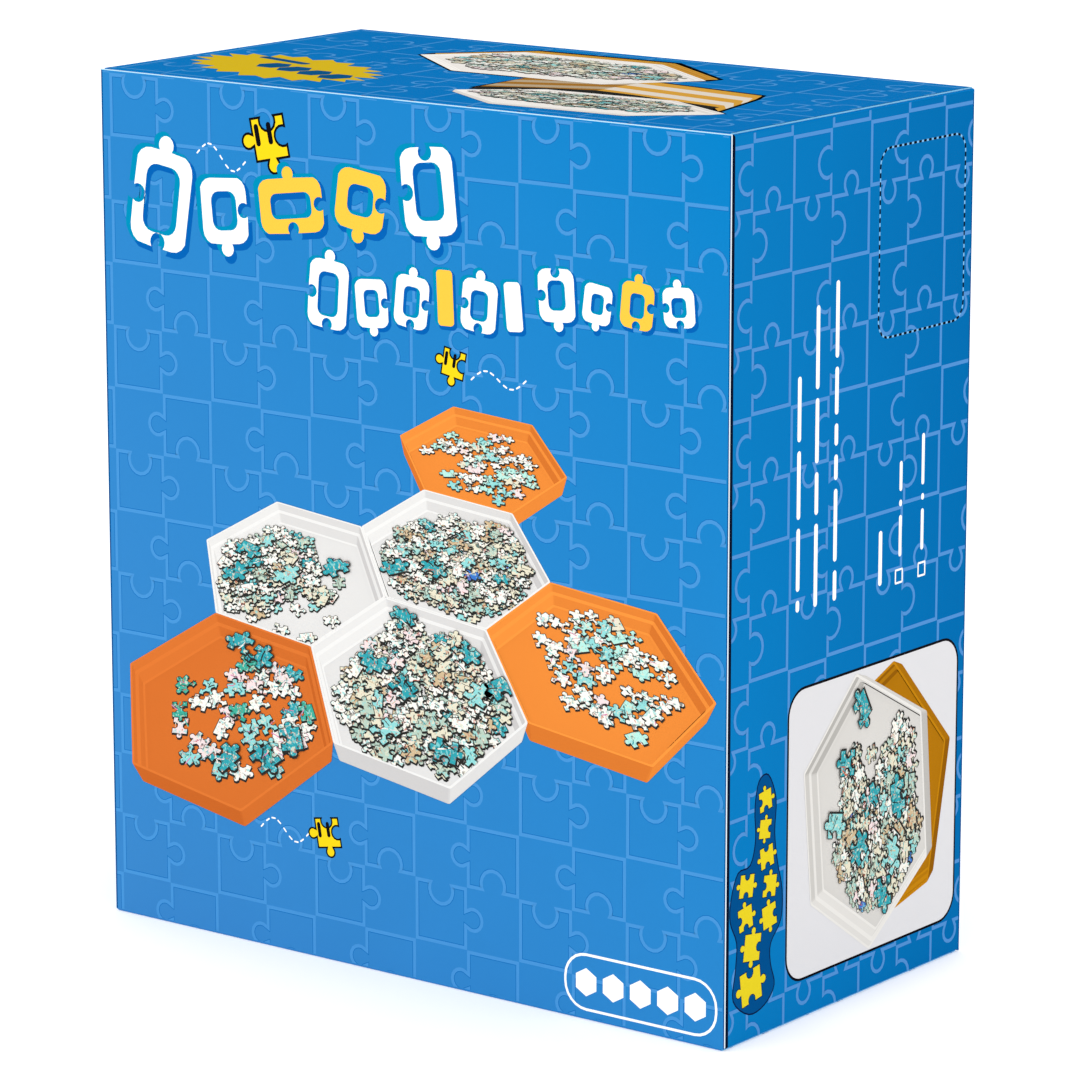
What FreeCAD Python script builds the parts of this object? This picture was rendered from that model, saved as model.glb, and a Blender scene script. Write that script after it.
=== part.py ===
import FreeCAD
import Part
import math
import os

# A sealed retail carton, standing upright: a reverse-tuck-end box folded from one
# blank of printed board, closed and full as it is sold.
#
# The front panel faces -Y, the width runs along X, and the carton stands on Z = 0.
# The origin is the centre of the bottom face. Sizes are in millimetres.
#
# What shows of the fold-up, and is modelled here at its true size:
#   - three upright corners are scored folds, rounded on the outside;
#   - the fourth, front right, is the glued seam: the front panel's cut edge lies
#     over a tab that the right panel folds behind it;
#   - the top lid is hinged on the back panel. Its tuck flap folds down behind the
#     front panel's cut edge, and its own cut ends lie on the two dust flaps, which
#     fold in from the side panels one board lower;
#   - the bottom closes the same way, turned about, with its lid hinged on the front
#     panel, so no cut edge shows along the foot of the front.
# The pack is shut all round and full, so it is one closed solid.

# Driving sizes
CARTON_WIDTH = 234.0
CARTON_DEPTH = 124.0
CARTON_HEIGHT = 265.0
BOARD = 0.5  # thickness of the printed board
FOLD_RADIUS = 0.8  # outside radius of a scored fold
SEAM_GAP = 0.2  # opening between a cut edge and the fold beside it
SEAM_DEPTH = 0.6  # how far down that opening can be seen
LID_SETBACK = 0.2  # from the start of the side panel's fold in to the lid's cut end
EDGE_DROP = 0.2  # a wall's cut edge stops this far below the lid's face

CLEAR = 5.0  # how far a cutter runs past the carton

LEFT = -CARTON_WIDTH / 2
RIGHT = CARTON_WIDTH / 2
FRONT = -CARTON_DEPTH / 2
BACK = CARTON_DEPTH / 2


def line(start, end):
    return Part.LineSegment(start, end).toShape()


def arc(centre, radius, start_deg, end_deg, place):
    """A circular arc in the section plane that `place` maps (u, v) into."""

    def on_circle(degrees):
        angle = math.radians(degrees)
        return place(centre[0] + radius * math.cos(angle), centre[1] + radius * math.sin(angle))

    middle = (start_deg + end_deg) / 2
    return Part.Arc(on_circle(start_deg), on_circle(middle), on_circle(end_deg)).toShape()


def in_plan(u, v):
    """Section plane looking down: u is X and v is Y."""
    return FreeCAD.Vector(u, v, 0)


def in_side(u, v):
    """Section plane across the depth: u is Y and v is Z, on the left of the carton."""
    return FreeCAD.Vector(LEFT - CLEAR, u, v)


def in_front(u, v):
    """Section plane across the width: u is X and v is Z, at the back of the front panel."""
    return FreeCAD.Vector(u, FRONT + BOARD, v)


def prism(edges, direction):
    """The closed outline of edges, extruded along direction."""
    return Part.Face(Part.Wire(edges)).extrude(direction)


def seam_fold_start():
    """Where a fold behind a cut edge leaves the bottom of the seam: the angle on the
    fold's circle, and how far the circle stands off the cut board there."""
    angle = math.acos((FOLD_RADIUS - SEAM_DEPTH) / FOLD_RADIUS)
    return math.degrees(angle), SEAM_GAP + FOLD_RADIUS * (1 - math.sin(angle))


def tube():
    """The four walls in plan: three folds and the glued seam, front right."""
    fold_angle, stand_off = seam_fold_start()
    seam_y = FRONT + BOARD
    tab_centre = (RIGHT - FOLD_RADIUS, seam_y + SEAM_GAP + FOLD_RADIUS)
    r = FOLD_RADIUS
    edges = [
        line(in_plan(LEFT + r, FRONT), in_plan(RIGHT, FRONT)),
        line(in_plan(RIGHT, FRONT), in_plan(RIGHT, seam_y)),
        line(in_plan(RIGHT, seam_y), in_plan(RIGHT - SEAM_DEPTH, seam_y)),
        line(in_plan(RIGHT - SEAM_DEPTH, seam_y), in_plan(RIGHT - SEAM_DEPTH, seam_y + stand_off)),
        arc(tab_centre, r, -fold_angle, 0, in_plan),
        line(in_plan(RIGHT, tab_centre[1]), in_plan(RIGHT, BACK - r)),
        arc((RIGHT - r, BACK - r), r, 0, 90, in_plan),
        line(in_plan(RIGHT - r, BACK), in_plan(LEFT + r, BACK)),
        arc((LEFT + r, BACK - r), r, 90, 180, in_plan),
        line(in_plan(LEFT, BACK - r), in_plan(LEFT, FRONT + r)),
        arc((LEFT + r, FRONT + r), r, 180, 270, in_plan),
    ]
    return prism(edges, FreeCAD.Vector(0, 0, CARTON_HEIGHT))


def tuck_seam():
    """What is missing between the front panel's cut edge and the lid's tuck fold."""
    fold_angle, stand_off = seam_fold_start()
    top = CARTON_HEIGHT
    seam_y = FRONT + BOARD
    seam_floor = top - SEAM_DEPTH
    fold_centre = (seam_y + SEAM_GAP + FOLD_RADIUS, top - FOLD_RADIUS)
    edges = [
        line(in_side(FRONT - CLEAR, top - EDGE_DROP), in_side(seam_y, top - EDGE_DROP)),
        line(in_side(seam_y, top - EDGE_DROP), in_side(seam_y, seam_floor)),
        line(in_side(seam_y, seam_floor), in_side(seam_y + stand_off, seam_floor)),
        arc(fold_centre, FOLD_RADIUS, 90 + fold_angle, 90, in_side),
        line(in_side(fold_centre[0], top), in_side(fold_centre[0], top + CLEAR)),
        line(in_side(fold_centre[0], top + CLEAR), in_side(FRONT - CLEAR, top + CLEAR)),
        line(in_side(FRONT - CLEAR, top + CLEAR), in_side(FRONT - CLEAR, top - EDGE_DROP)),
    ]
    return prism(edges, FreeCAD.Vector(CARTON_WIDTH + 2 * CLEAR, 0, 0))


def hinge_fold():
    """What is missing outside the lid's hinge fold, along the back edge."""
    top = CARTON_HEIGHT
    centre = (BACK - FOLD_RADIUS, top - FOLD_RADIUS)
    edges = [
        arc(centre, FOLD_RADIUS, 90, 0, in_side),
        line(in_side(BACK, centre[1]), in_side(BACK + CLEAR, centre[1])),
        line(in_side(BACK + CLEAR, centre[1]), in_side(BACK + CLEAR, top + CLEAR)),
        line(in_side(BACK + CLEAR, top + CLEAR), in_side(centre[0], top + CLEAR)),
        line(in_side(centre[0], top + CLEAR), in_side(centre[0], top)),
    ]
    return prism(edges, FreeCAD.Vector(CARTON_WIDTH + 2 * CLEAR, 0, 0))


def dust_flap_step():
    """What is missing above the right-hand dust flap's fold, past the lid's cut end."""
    top = CARTON_HEIGHT
    flap_top = top - BOARD
    centre = (RIGHT - FOLD_RADIUS, flap_top - FOLD_RADIUS)
    lid_end = centre[0] - LID_SETBACK
    edges = [
        line(in_front(lid_end, top + CLEAR), in_front(lid_end, flap_top)),
        line(in_front(lid_end, flap_top), in_front(centre[0], flap_top)),
        arc(centre, FOLD_RADIUS, 90, 0, in_front),
        line(in_front(RIGHT, centre[1]), in_front(RIGHT + CLEAR, centre[1])),
        line(in_front(RIGHT + CLEAR, centre[1]), in_front(RIGHT + CLEAR, top + CLEAR)),
        line(in_front(RIGHT + CLEAR, top + CLEAR), in_front(lid_end, top + CLEAR)),
    ]
    return prism(edges, FreeCAD.Vector(0, CARTON_DEPTH + CLEAR, 0))


def top_closure():
    """Everything that the closed top leaves open, as a list of cutters."""
    right_step = dust_flap_step()
    left_step = right_step.mirror(FreeCAD.Vector(0, 0, 0), FreeCAD.Vector(1, 0, 0))
    return [tuck_seam(), hinge_fold(), right_step, left_step]


def bottom_closure():
    """The top closure turned half round about the carton's middle, along X."""
    turned = []
    for cutter in top_closure():
        cutter.rotate(FreeCAD.Vector(0, 0, CARTON_HEIGHT / 2), FreeCAD.Vector(1, 0, 0), 180)
        turned.append(cutter)
    return turned


def carton():
    """The whole pack as one closed solid."""
    return tube().cut(top_closure() + bottom_closure())


def main():
    os.makedirs("parts", exist_ok=True)
    pack = carton()
    print("carton", "solids", len(pack.Solids), "valid", pack.isValid(), "mm3", round(pack.Volume))
    pack.exportStep("parts/carton.step")


main()
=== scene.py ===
"""The looks of a printed retail carton: its board, its print on every panel, and a plain stage.

The carton itself comes from the frame and stays as it is. The print lies on it as flat
fields of ink, a hair above the board and above each other. Each field is modelled flat, in
millimetres across and up its panel, and then laid on the panel.
"""

import math
import random
from collections import namedtuple

import bpy
from bpy.props import FloatProperty, FloatVectorProperty, IntProperty, PointerProperty
from mathutils import Matrix, Vector


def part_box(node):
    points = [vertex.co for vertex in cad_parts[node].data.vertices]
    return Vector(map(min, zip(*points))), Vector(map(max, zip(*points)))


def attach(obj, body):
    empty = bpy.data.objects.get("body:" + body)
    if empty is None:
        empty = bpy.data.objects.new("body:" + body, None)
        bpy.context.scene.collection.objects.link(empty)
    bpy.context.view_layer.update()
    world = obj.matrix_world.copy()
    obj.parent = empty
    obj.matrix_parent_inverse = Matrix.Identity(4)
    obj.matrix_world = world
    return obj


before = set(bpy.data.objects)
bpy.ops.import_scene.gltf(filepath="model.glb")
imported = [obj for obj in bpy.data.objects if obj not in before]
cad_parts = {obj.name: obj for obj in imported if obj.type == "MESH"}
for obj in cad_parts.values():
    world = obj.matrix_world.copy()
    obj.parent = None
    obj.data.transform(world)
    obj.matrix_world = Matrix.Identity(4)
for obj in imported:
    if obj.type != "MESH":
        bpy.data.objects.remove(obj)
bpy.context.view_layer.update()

bl_info = {
    "name": "Printed Retail Carton",
    "version": (1, 0, 0),
    "blender": (4, 5, 0),
    "location": "View3D > Sidebar > Carton",
    "description": "Prints and stages a retail carton of sorting trays",
    "category": "Object",
}

MM = 0.001
BODY = "root"

CARTON_LOW, CARTON_HIGH = (Vector(corner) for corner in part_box("carton"))
WIDTH, DEPTH, HEIGHT = (CARTON_HIGH - CARTON_LOW) / MM

# The carton's fold-up, in millimetres, as its panels show it
BOARD = 0.5
FOLD_RADIUS = 0.8
SEAM_GAP = 0.2
LID_SETBACK = 0.2
# EDGE_DROP: from the top down to the painted highlight under the front's top edge
EDGE_DROP = 0.2
SEAM_HIGHLIGHT = 0.06  # painted highlight: white beside the seam on the front, next to the board's cut edge
SEAM_SHADE = 0.35  # painted shade: a dark line on the right panel, past the seam's fold, where the seam's groove lies in shade

INK_STEP = 0.01  # from one layer of print up to the next

# Layers of print, from the board outwards
LINES_LAYER = 1
PANEL_LAYER = 2
TRAY_LAYER = 5
TRAY_LAYERS = 2  # a tray's basin, and its rim and outer wall
PILE_LAYER = 17
PIECE_LAYERS = 3  # a loose piece's shadow, the piece and its marks


def srgb(red, green, blue):
    """A screen colour, 0 to 255, as the linear colour that a shader takes."""

    def linear(level):
        level /= 255
        return level / 12.92 if level <= 0.04045 else ((level + 0.055) / 1.055) ** 2.4

    return linear(red), linear(green), linear(blue)


def colour_property(name, description, default):
    return FloatVectorProperty(
        name=name, description=description, default=default, subtype="COLOR", size=3, min=0, max=1
    )


def length_property(name, description, default):
    return FloatProperty(name=name, description=description, default=default * MM, unit="LENGTH", precision=5)


def amount_property(name, description, default):
    return FloatProperty(name=name, description=description, default=default, min=0)


class CartonPrintSettings(bpy.types.PropertyGroup):
    """Colours and sizes of the print's ground, with the painted highlight and shade at the seam and the lid.
    """

    front_blue: colour_property("Front blue", "Lower left of the front and back", srgb(57, 128, 191))
    front_cyan: colour_property("Front cyan", "Upper right of the front and back", srgb(6, 122, 188))
    side_blue: colour_property("Side blue", "Front side of the side panels", srgb(7, 117, 182))
    side_deep: colour_property("Side deep blue", "Back side of the side panels", srgb(0, 102, 166))
    top_blue: colour_property("Top blue", "Ground of the lid and the bottom", srgb(0, 115, 187))
    line_blue: colour_property("Line blue", "Jigsaw lines of the other panels", srgb(68, 141, 203))
    side_line_blue: colour_property("Side line blue", "Jigsaw lines of the side panels", srgb(78, 138, 200))
    line_shade: colour_property("Line shade", "Thin edge of the jigsaw lines", srgb(14, 104, 174))
    # White of the board's cut edges, and of the painted highlight beside the seam on the front
    core_and_highlight_white: colour_property("Core white", "Cut edge of the board", srgb(224, 234, 242))
    lid_line: colour_property("Lid line", "Cut ends of the lid", srgb(132, 196, 232))
    # Painted shade, along the lid's edge and down the seam
    painted_edge_shade: colour_property("Edge dark", "Dark line along the lid and the seam", srgb(8, 18, 40))
    piece_width: length_property("Piece width", "Width of one printed jigsaw piece", 19.5)
    piece_height: length_property("Piece height", "Height of one printed jigsaw piece", 19.3)
    line_width: length_property("Line width", "Width of the jigsaw lines", 1.1)
    line_shade_width: length_property("Line shade width", "Width of the lines' dark edge", 0.2)


class TrayPictureSettings(bpy.types.PropertyGroup):
    """Sizes and colours of the sorting trays and pieces in the printed pictures."""

    tray_radius: length_property("Tray radius", "From a pictured tray's middle to its corner", 129.5)
    tray_height: length_property("Tray height", "Height of a pictured tray", 25.0)
    piece_size: length_property("Piece size", "Size of a pictured loose piece", 29.0)
    piece_edge: length_property("Piece edge", "Width of a loose piece's dark edge", 0.7)
    white_lit: colour_property("White, lit", "White plastic in the light", srgb(228, 227, 224))
    white_shade: colour_property("White, shaded", "White plastic in shade", srgb(180, 177, 176))
    orange_lit: colour_property("Orange, lit", "Orange plastic in the light", srgb(237, 143, 60))
    orange_shade: colour_property("Orange, shaded", "Orange plastic in shade", srgb(192, 98, 35))
    deep_lit: colour_property("Deep orange, lit", "The near left tray in the light", srgb(214, 115, 49))
    deep_shade: colour_property("Deep orange, shaded", "The near left tray in shade", srgb(180, 86, 30))
    seed: IntProperty(name="Seed", description="Start of the random scatter of pieces", default=11, min=0)


class StageSettings(bpy.types.PropertyGroup):
    """The floor, the lights and the camera."""

    floor_size: FloatProperty(name="Floor size", description="Side of the floor", default=8.0, unit="LENGTH")
    floor_colour: colour_property("Floor", "Colour of the floor", (0.9, 0.9, 0.9))
    floor_glow: amount_property("Floor glow", "The floor's own light", 0.28)
    room_light: amount_property("Room light", "Brightness all round", 1.08)
    room_gleam: amount_property("Room gleam", "Share of the room that varnish shows", 0.0)
    key_light: amount_property("Key light", "Power of the front light, in watts", 6.0)
    fill_share: amount_property("Fill share", "Power of the side light, of the front light's", 0.35)
    lens: amount_property("Lens", "Focal length, in millimetres", 172.1)


# Panels

Panel = namedtuple("Panel", "name origin across up width height")

X, Y, Z = Vector((1, 0, 0)), Vector((0, 1, 0)), Vector((0, 0, 1))
LEFT, FRONT, FOOT = CARTON_LOW
RIGHT, BACK, TOP = CARTON_HIGH

PANELS = {
    "front": Panel("front", Vector((LEFT, FRONT, FOOT)), X, Z, WIDTH, HEIGHT),
    "right": Panel("right", Vector((RIGHT, FRONT, FOOT)), Y, Z, DEPTH, HEIGHT),
    "back": Panel("back", Vector((RIGHT, BACK, FOOT)), -X, Z, WIDTH, HEIGHT),
    "left": Panel("left", Vector((LEFT, BACK, FOOT)), -Y, Z, DEPTH, HEIGHT),
    "top": Panel("top", Vector((LEFT, FRONT, TOP)), X, Y, WIDTH, DEPTH),
    "bottom": Panel("bottom", Vector((LEFT, BACK, FOOT)), X, -Y, WIDTH, DEPTH),
}


def panel_matrix(panel):
    """Takes the flat sheet's axes to a panel's: across, up and out of the board."""
    out = panel.across.cross(panel.up)
    turn = Matrix((panel.across, panel.up, out)).transposed().to_4x4()
    return Matrix.Translation(panel.origin) @ turn


# Modelling by hand

def select_only(*objects):
    bpy.ops.object.select_all(action="DESELECT")
    for piece in objects:
        piece.select_set(True)
    bpy.context.view_layer.objects.active = objects[0]


def edit(piece):
    """Opens a piece for editing, with all of it selected."""
    select_only(piece)
    bpy.ops.object.mode_set(mode="EDIT")
    bpy.ops.mesh.select_mode(type="VERT")
    bpy.ops.mesh.select_all(action="SELECT")


def leave_edit():
    bpy.ops.object.mode_set(mode="OBJECT")


def add_circle(points, fill_type, radius=MM):
    """A new circle, whose points are then put where they belong."""
    bpy.ops.object.select_all(action="DESELECT")
    bpy.ops.mesh.primitive_circle_add(vertices=points, radius=radius, fill_type=fill_type)
    return bpy.context.object


def place_points(field, points):
    for vertex, (across, up) in zip(field.data.vertices, points):
        vertex.co = (across * MM, up * MM, 0)


def finish_field(field, name, ink):
    """Names a new flat field, gives it its ink and turns its face out of the board."""
    field.name = name
    field.data.name = name
    field.data.materials.append(ink)
    if field.data.polygons[0].normal.z < 0:
        field.data.flip_normals()
    return field


def flat_field(name, outline, ink):
    """A filled flat field with that outline, in millimetres, in one ink."""
    field = add_circle(len(outline), "NGON")
    place_points(field, outline)
    return finish_field(field, name, ink)


def windowed_field(name, outline, window, ink):
    """A flat field with an opening in it."""
    field = add_circle(len(outline), "NOTHING")
    bpy.ops.object.mode_set(mode="EDIT")
    bpy.ops.mesh.primitive_circle_add(vertices=len(window), radius=MM / 2, fill_type="NOTHING")
    leave_edit()
    place_points(field, list(outline) + list(window))
    edit(field)
    bpy.ops.mesh.fill()
    bpy.ops.mesh.select_all(action="SELECT")
    bpy.ops.mesh.normals_make_consistent(inside=False)
    leave_edit()
    return finish_field(field, name, ink)


def bordered_field(name, outline, border_ink, width, fill_ink):
    """A filled flat field with a band of border ink just inside its outline."""
    field = flat_field(name, outline, border_ink)
    field.data.materials.append(fill_ink)
    edit(field)
    bpy.ops.mesh.inset(thickness=width * MM)
    leave_edit()
    max(field.data.polygons, key=lambda face: len(face.vertices)).material_index = 1
    return field


def open_ring(field, width):
    """Leaves only a band of that width along the field's outline."""
    edit(field)
    bpy.ops.mesh.inset(thickness=width * MM)
    bpy.ops.mesh.delete(type="FACE")
    leave_edit()
    return field


def copy_of(piece, matrix, fill=None):
    """A copy with its own mesh, moved by matrix, filled with its own ink if one is given."""
    mesh = piece.data.copy()
    mesh.transform(matrix)
    if fill is not None:
        mesh.materials[-1] = fill
    twin = bpy.data.objects.new(piece.name, mesh)
    bpy.context.collection.objects.link(twin)
    return twin


def remove(piece):
    mesh = piece.data
    bpy.data.objects.remove(piece)
    bpy.data.meshes.remove(mesh)


def join(name, parts):
    """Joins parts into one piece with that name."""
    select_only(*parts)
    if len(parts) > 1:
        bpy.ops.object.join()
    piece = bpy.context.object
    piece.name = name
    piece.data.name = name
    return piece


def raise_to(piece, layer):
    piece.data.transform(Matrix.Translation((0, 0, layer * INK_STEP * MM)))
    return piece


def place(across, up, turn=0.0):
    """Moves a field modelled about its own middle to a place on the sheet."""
    return Matrix.Translation((across * MM, up * MM, 0)) @ Matrix.Rotation(math.radians(turn), 4, "Z")


def printed(name, outline, ink_name, layer=PANEL_LAYER, where=None):
    """A filled flat field in one of the print's inks, moved to its place, on its layer."""
    field = flat_field(name, outline, ink(ink_name))
    if where is not None:
        field.data.transform(where)
    return raise_to(field, layer)


def printed_ring(name, outline, width, ink_name):
    """A band along an outline, in one of the print's inks."""
    return raise_to(open_ring(flat_field(name, outline, ink(ink_name)), width), PANEL_LAYER)


def cut_off(across, up, out_across, out_up):
    """While editing: cuts off all that lies past a line of the sheet, on its outer side."""
    bpy.ops.mesh.select_all(action="SELECT")
    bpy.ops.mesh.bisect(
        plane_co=(across * MM, up * MM, 0), plane_no=(out_across, out_up, 0), clear_outer=True
    )


def clip(piece, low_across, low_up, high_across, high_up):
    """Cuts off what lies past a rectangle of the sheet."""
    edit(piece)
    cut_off(low_across, low_up, -1, 0)
    cut_off(low_across, low_up, 0, -1)
    cut_off(high_across, high_up, 1, 0)
    cut_off(high_across, high_up, 0, 1)
    leave_edit()


def lay_on(piece, panel):
    """Lays a flat piece on its panel, with its place in its mesh, and lets it ride there."""
    piece.matrix_world = panel_matrix(panel)
    select_only(piece)
    bpy.ops.object.transform_apply(location=True, rotation=True, scale=True)
    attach(piece, BODY)


# Outlines, in millimetres

def rectangle(low_across, low_up, high_across, high_up):
    return [(low_across, low_up), (high_across, low_up), (high_across, high_up), (low_across, high_up)]


def rounded_rectangle(low_across, low_up, high_across, high_up, radius, corner_steps=6):
    """Anticlockwise from the lower right corner's arc."""
    corners = (
        (high_across - radius, low_up + radius, -90),
        (high_across - radius, high_up - radius, 0),
        (low_across + radius, high_up - radius, 90),
        (low_across + radius, low_up + radius, 180),
    )
    points = []
    for centre_across, centre_up, start in corners:
        for step in range(corner_steps + 1):
            angle = math.radians(start + 90 * step / corner_steps)
            across = centre_across + radius * math.cos(angle)
            points.append((across, centre_up + radius * math.sin(angle)))
    return points


def inset_rectangle(corners, radius, inset, corner_steps=6):
    """A rounded rectangle that lies inside another by the same width all round."""
    low_across, low_up, high_across, high_up = corners
    low_across, low_up = low_across + inset, low_up + inset
    high_across, high_up = high_across - inset, high_up - inset
    return rounded_rectangle(low_across, low_up, high_across, high_up, radius - inset, corner_steps)


BAR_END = 0.001  # taken off a bar's round ends, so that no two of its points meet


def bar(across, up, length, thickness, turn=0.0):
    """A straight bar with round ends, about its middle."""
    half_length, half_thickness = length / 2, thickness / 2
    outline = rounded_rectangle(
        -half_length, -half_thickness, half_length, half_thickness, half_thickness - BAR_END, corner_steps=3
    )
    return moved(outline, across, up, turn)


def smooth_outline(points, steps=4):
    """A closed smooth outline through the given points."""
    outline = []
    count = len(points)
    for number in range(count):
        before, here, there, after = (points[(number + shift) % count] for shift in (-1, 0, 1, 2))
        for step in range(steps):
            share = step / steps
            outline.append(tuple(
                0.5 * (2 * b + (c - a) * share + (2 * a - 5 * b + 4 * c - d) * share ** 2
                       + (3 * b - a - 3 * c + d) * share ** 3)
                for a, b, c, d in zip(before, here, there, after)
            ))
    return outline


def moved(outline, across, up, turn=0.0):
    cos, sin = math.cos(math.radians(turn)), math.sin(math.radians(turn))
    return [(across + x * cos - y * sin, up + x * sin + y * cos) for x, y in outline]


def hexagon_corner(radius, corner):
    angle = math.radians(60 * corner)
    return Vector((radius * math.cos(angle), radius * math.sin(angle), 0))


def hexagon(radius, across, up, turn=0.0):
    return moved([hexagon_corner(radius, corner)[:2] for corner in range(6)], across, up, turn)


KNOB_RADIUS = 0.2  # of a piece's short side
KNOB_REACH = 0.6  # how far the knob's middle stands off its side, of the knob's radius


def jigsaw_side(length, radius, kind, knob_steps):
    """One side of a jigsaw piece as (along, outward) points, without its far corner."""
    if kind == "flat":
        return [(0, 0)]
    reach = KNOB_REACH * radius
    way = 1 if kind == "knob" else -1
    opening = math.acos(reach / radius)
    points = [(0, 0)]
    for step in range(knob_steps + 1):
        angle = -opening - (2 * math.pi - 2 * opening) * step / knob_steps
        along = length / 2 + radius * math.sin(angle)
        outward = way * (reach - radius * math.cos(angle))
        points.append((along, outward))
    return points


def jigsaw_outline(width, height, bottom, right, top, left, knob_steps=10, knob=KNOB_RADIUS, corner=0):
    """A jigsaw piece about its middle, anticlockwise from its lower left corner. A corner
    radius rounds all four corners."""
    half_width, half_height = width / 2, height / 2
    sides = (
        ((-half_width, -half_height), (1, 0), width, bottom),
        ((half_width, -half_height), (0, 1), height, right),
        ((half_width, half_height), (-1, 0), width, top),
        ((-half_width, half_height), (0, -1), height, left),
    )
    points = []
    for (start_across, start_up), (along_across, along_up), length, kind in sides:
        side = jigsaw_side(length, knob * min(width, height), kind, knob_steps)
        if corner:
            side = corner_arc(corner) + side[1:] + [(length - corner, 0)]
        for along, outward in side:
            across = start_across + along * along_across + outward * along_up
            up = start_up + along * along_up - outward * along_across
            points.append((across, up))
    return points


def corner_arc(radius, steps=4):
    """The arc that starts a side, as (along, outward) points up to where it runs straight."""
    arc = []
    for step in range(1, steps + 1):
        angle = math.pi / 2 * step / steps
        arc.append((radius - radius * math.sin(angle), -(radius - radius * math.cos(angle))))
    return arc[::-1]


# Materials

ROUGHNESS = 0.5
ROUGHNESS_SPREAD = 0.06  # how much it varies, either way
SPECULAR = 0.004  # next to none, as the photo shows hardly any gleam
GRAIN_SCALE = 900
GRAIN_BUMP = 0.12
GRAIN_DEPTH = 0.1 * MM
MOTTLE_SCALE = 14


def noise(nodes, scale, detail):
    texture = nodes.new("ShaderNodeTexNoise")
    texture.inputs["Scale"].default_value = scale
    texture.inputs["Detail"].default_value = detail
    return texture


def varnish_group():
    """Node group: the fine grain and the satin varnish that all the board shares."""
    name = "Varnished board"
    if name in bpy.data.node_groups:
        return bpy.data.node_groups[name]
    group = bpy.data.node_groups.new(name, "ShaderNodeTree")
    group.interface.new_socket("Roughness", in_out="INPUT", socket_type="NodeSocketFloat")
    for socket in ("Roughness", "Grain", "Mottle"):
        group.interface.new_socket(socket, in_out="OUTPUT", socket_type="NodeSocketFloat")
    nodes, links = group.nodes, group.links
    given = nodes.new("NodeGroupInput")
    result = nodes.new("NodeGroupOutput")
    where = nodes.new("ShaderNodeTexCoord")
    grain = noise(nodes, GRAIN_SCALE, detail=2)
    mottle = noise(nodes, MOTTLE_SCALE, detail=3)
    spread = nodes.new("ShaderNodeMapRange")
    spread.inputs["To Min"].default_value = -ROUGHNESS_SPREAD
    spread.inputs["To Max"].default_value = ROUGHNESS_SPREAD
    total = nodes.new("ShaderNodeMath")
    total.operation = "ADD"
    links.new(where.outputs["Object"], grain.inputs["Vector"])
    links.new(where.outputs["Object"], mottle.inputs["Vector"])
    links.new(mottle.outputs["Fac"], spread.inputs["Value"])
    links.new(spread.outputs["Result"], total.inputs[0])
    links.new(given.outputs["Roughness"], total.inputs[1])
    links.new(total.outputs["Value"], result.inputs["Roughness"])
    links.new(grain.outputs["Fac"], result.inputs["Grain"])
    links.new(mottle.outputs["Fac"], result.inputs["Mottle"])
    return group


def varnished(name, colour):
    """A material of varnished print, and its nodes: the shader and the shared group."""
    material = bpy.data.materials.new(name)
    material.use_nodes = True
    material.diffuse_color = (*colour, 1)
    nodes, links = material.node_tree.nodes, material.node_tree.links
    shader = nodes["Principled BSDF"]
    shader.inputs["Base Color"].default_value = (*colour, 1)
    shader.inputs["Specular IOR Level"].default_value = SPECULAR
    board = nodes.new("ShaderNodeGroup")
    board.node_tree = varnish_group()
    board.inputs["Roughness"].default_value = ROUGHNESS
    bump = nodes.new("ShaderNodeBump")
    bump.inputs["Strength"].default_value = GRAIN_BUMP
    bump.inputs["Distance"].default_value = GRAIN_DEPTH
    links.new(board.outputs["Roughness"], shader.inputs["Roughness"])
    links.new(board.outputs["Grain"], bump.inputs["Height"])
    links.new(bump.outputs["Normal"], shader.inputs["Normal"])
    return material, shader, board


INKS = {
    # Painted highlight, under the front's top edge
    "frame_light": srgb(124, 184, 228),
    "edge_light": srgb(170, 216, 240),
    "white": srgb(250, 250, 248),
    "amber": srgb(255, 192, 66),
    "yellow": srgb(240, 206, 26),
    "label_yellow": srgb(222, 200, 36),
    "teal": srgb(0, 136, 176),
    "shadow_blue": srgb(4, 92, 170),
    # Print on the spine label, and also painted shade down the front's folds and by the right panel's back
    # fold
    "deep_blue": srgb(0, 74, 132),
    "navy": srgb(8, 22, 60),
    "keyline": srgb(14, 14, 20),
    "panel_grey": srgb(214, 213, 215),
    "burst_mustard": srgb(208, 176, 26),
    "burst_blue": srgb(6, 82, 132),
    "stack_amber": srgb(208, 154, 58),
    "stack_white": srgb(216, 206, 192),
    "stack_amber_dark": srgb(160, 110, 40),
    "stack_white_dark": srgb(178, 158, 128),
    "pile_dark": srgb(44, 44, 42),
    "piece_white": srgb(238, 236, 228),
    "piece_cream": srgb(222, 216, 192),
    "piece_sage": srgb(178, 198, 182),
    "piece_teal": srgb(48, 156, 166),
    "piece_aqua": srgb(140, 208, 206),
    "piece_mint": srgb(176, 226, 214),
    "piece_green": srgb(60, 166, 146),
    "piece_blush": srgb(234, 214, 214),
    "piece_pink": srgb(206, 128, 168),
    "piece_tan": srgb(200, 176, 140),
    "piece_rust": srgb(188, 92, 70),
    "piece_blue": srgb(58, 112, 190),
    "piece_grey": srgb(120, 124, 118),
}


def ink(name):
    """One of the print's inks, made the first time it is asked for."""
    title = f"Ink {name.replace('_', ' ')}"
    if title not in bpy.data.materials:
        _, shader, board = varnished(title, INKS[name])
        if name.startswith("piece_"):
            speckle(board.id_data, shader, INKS[name])
    return bpy.data.materials[title]


# The specks on the pictured pieces: how fine, how few, and in which colour
SPECKS = (
    (760, 0.60, "piece_aqua"),
    (690, 0.62, "pile_dark"),
    (840, 0.66, "piece_rust"),
    (900, 0.62, "piece_cream"),
)
SPECK_EDGE = 0.03  # half the width of a speck's soft edge, on the noise's scale
SPECK_COVER = 0.75
SPECK_BEND = 0.8  # how far the noise is distorted


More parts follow.
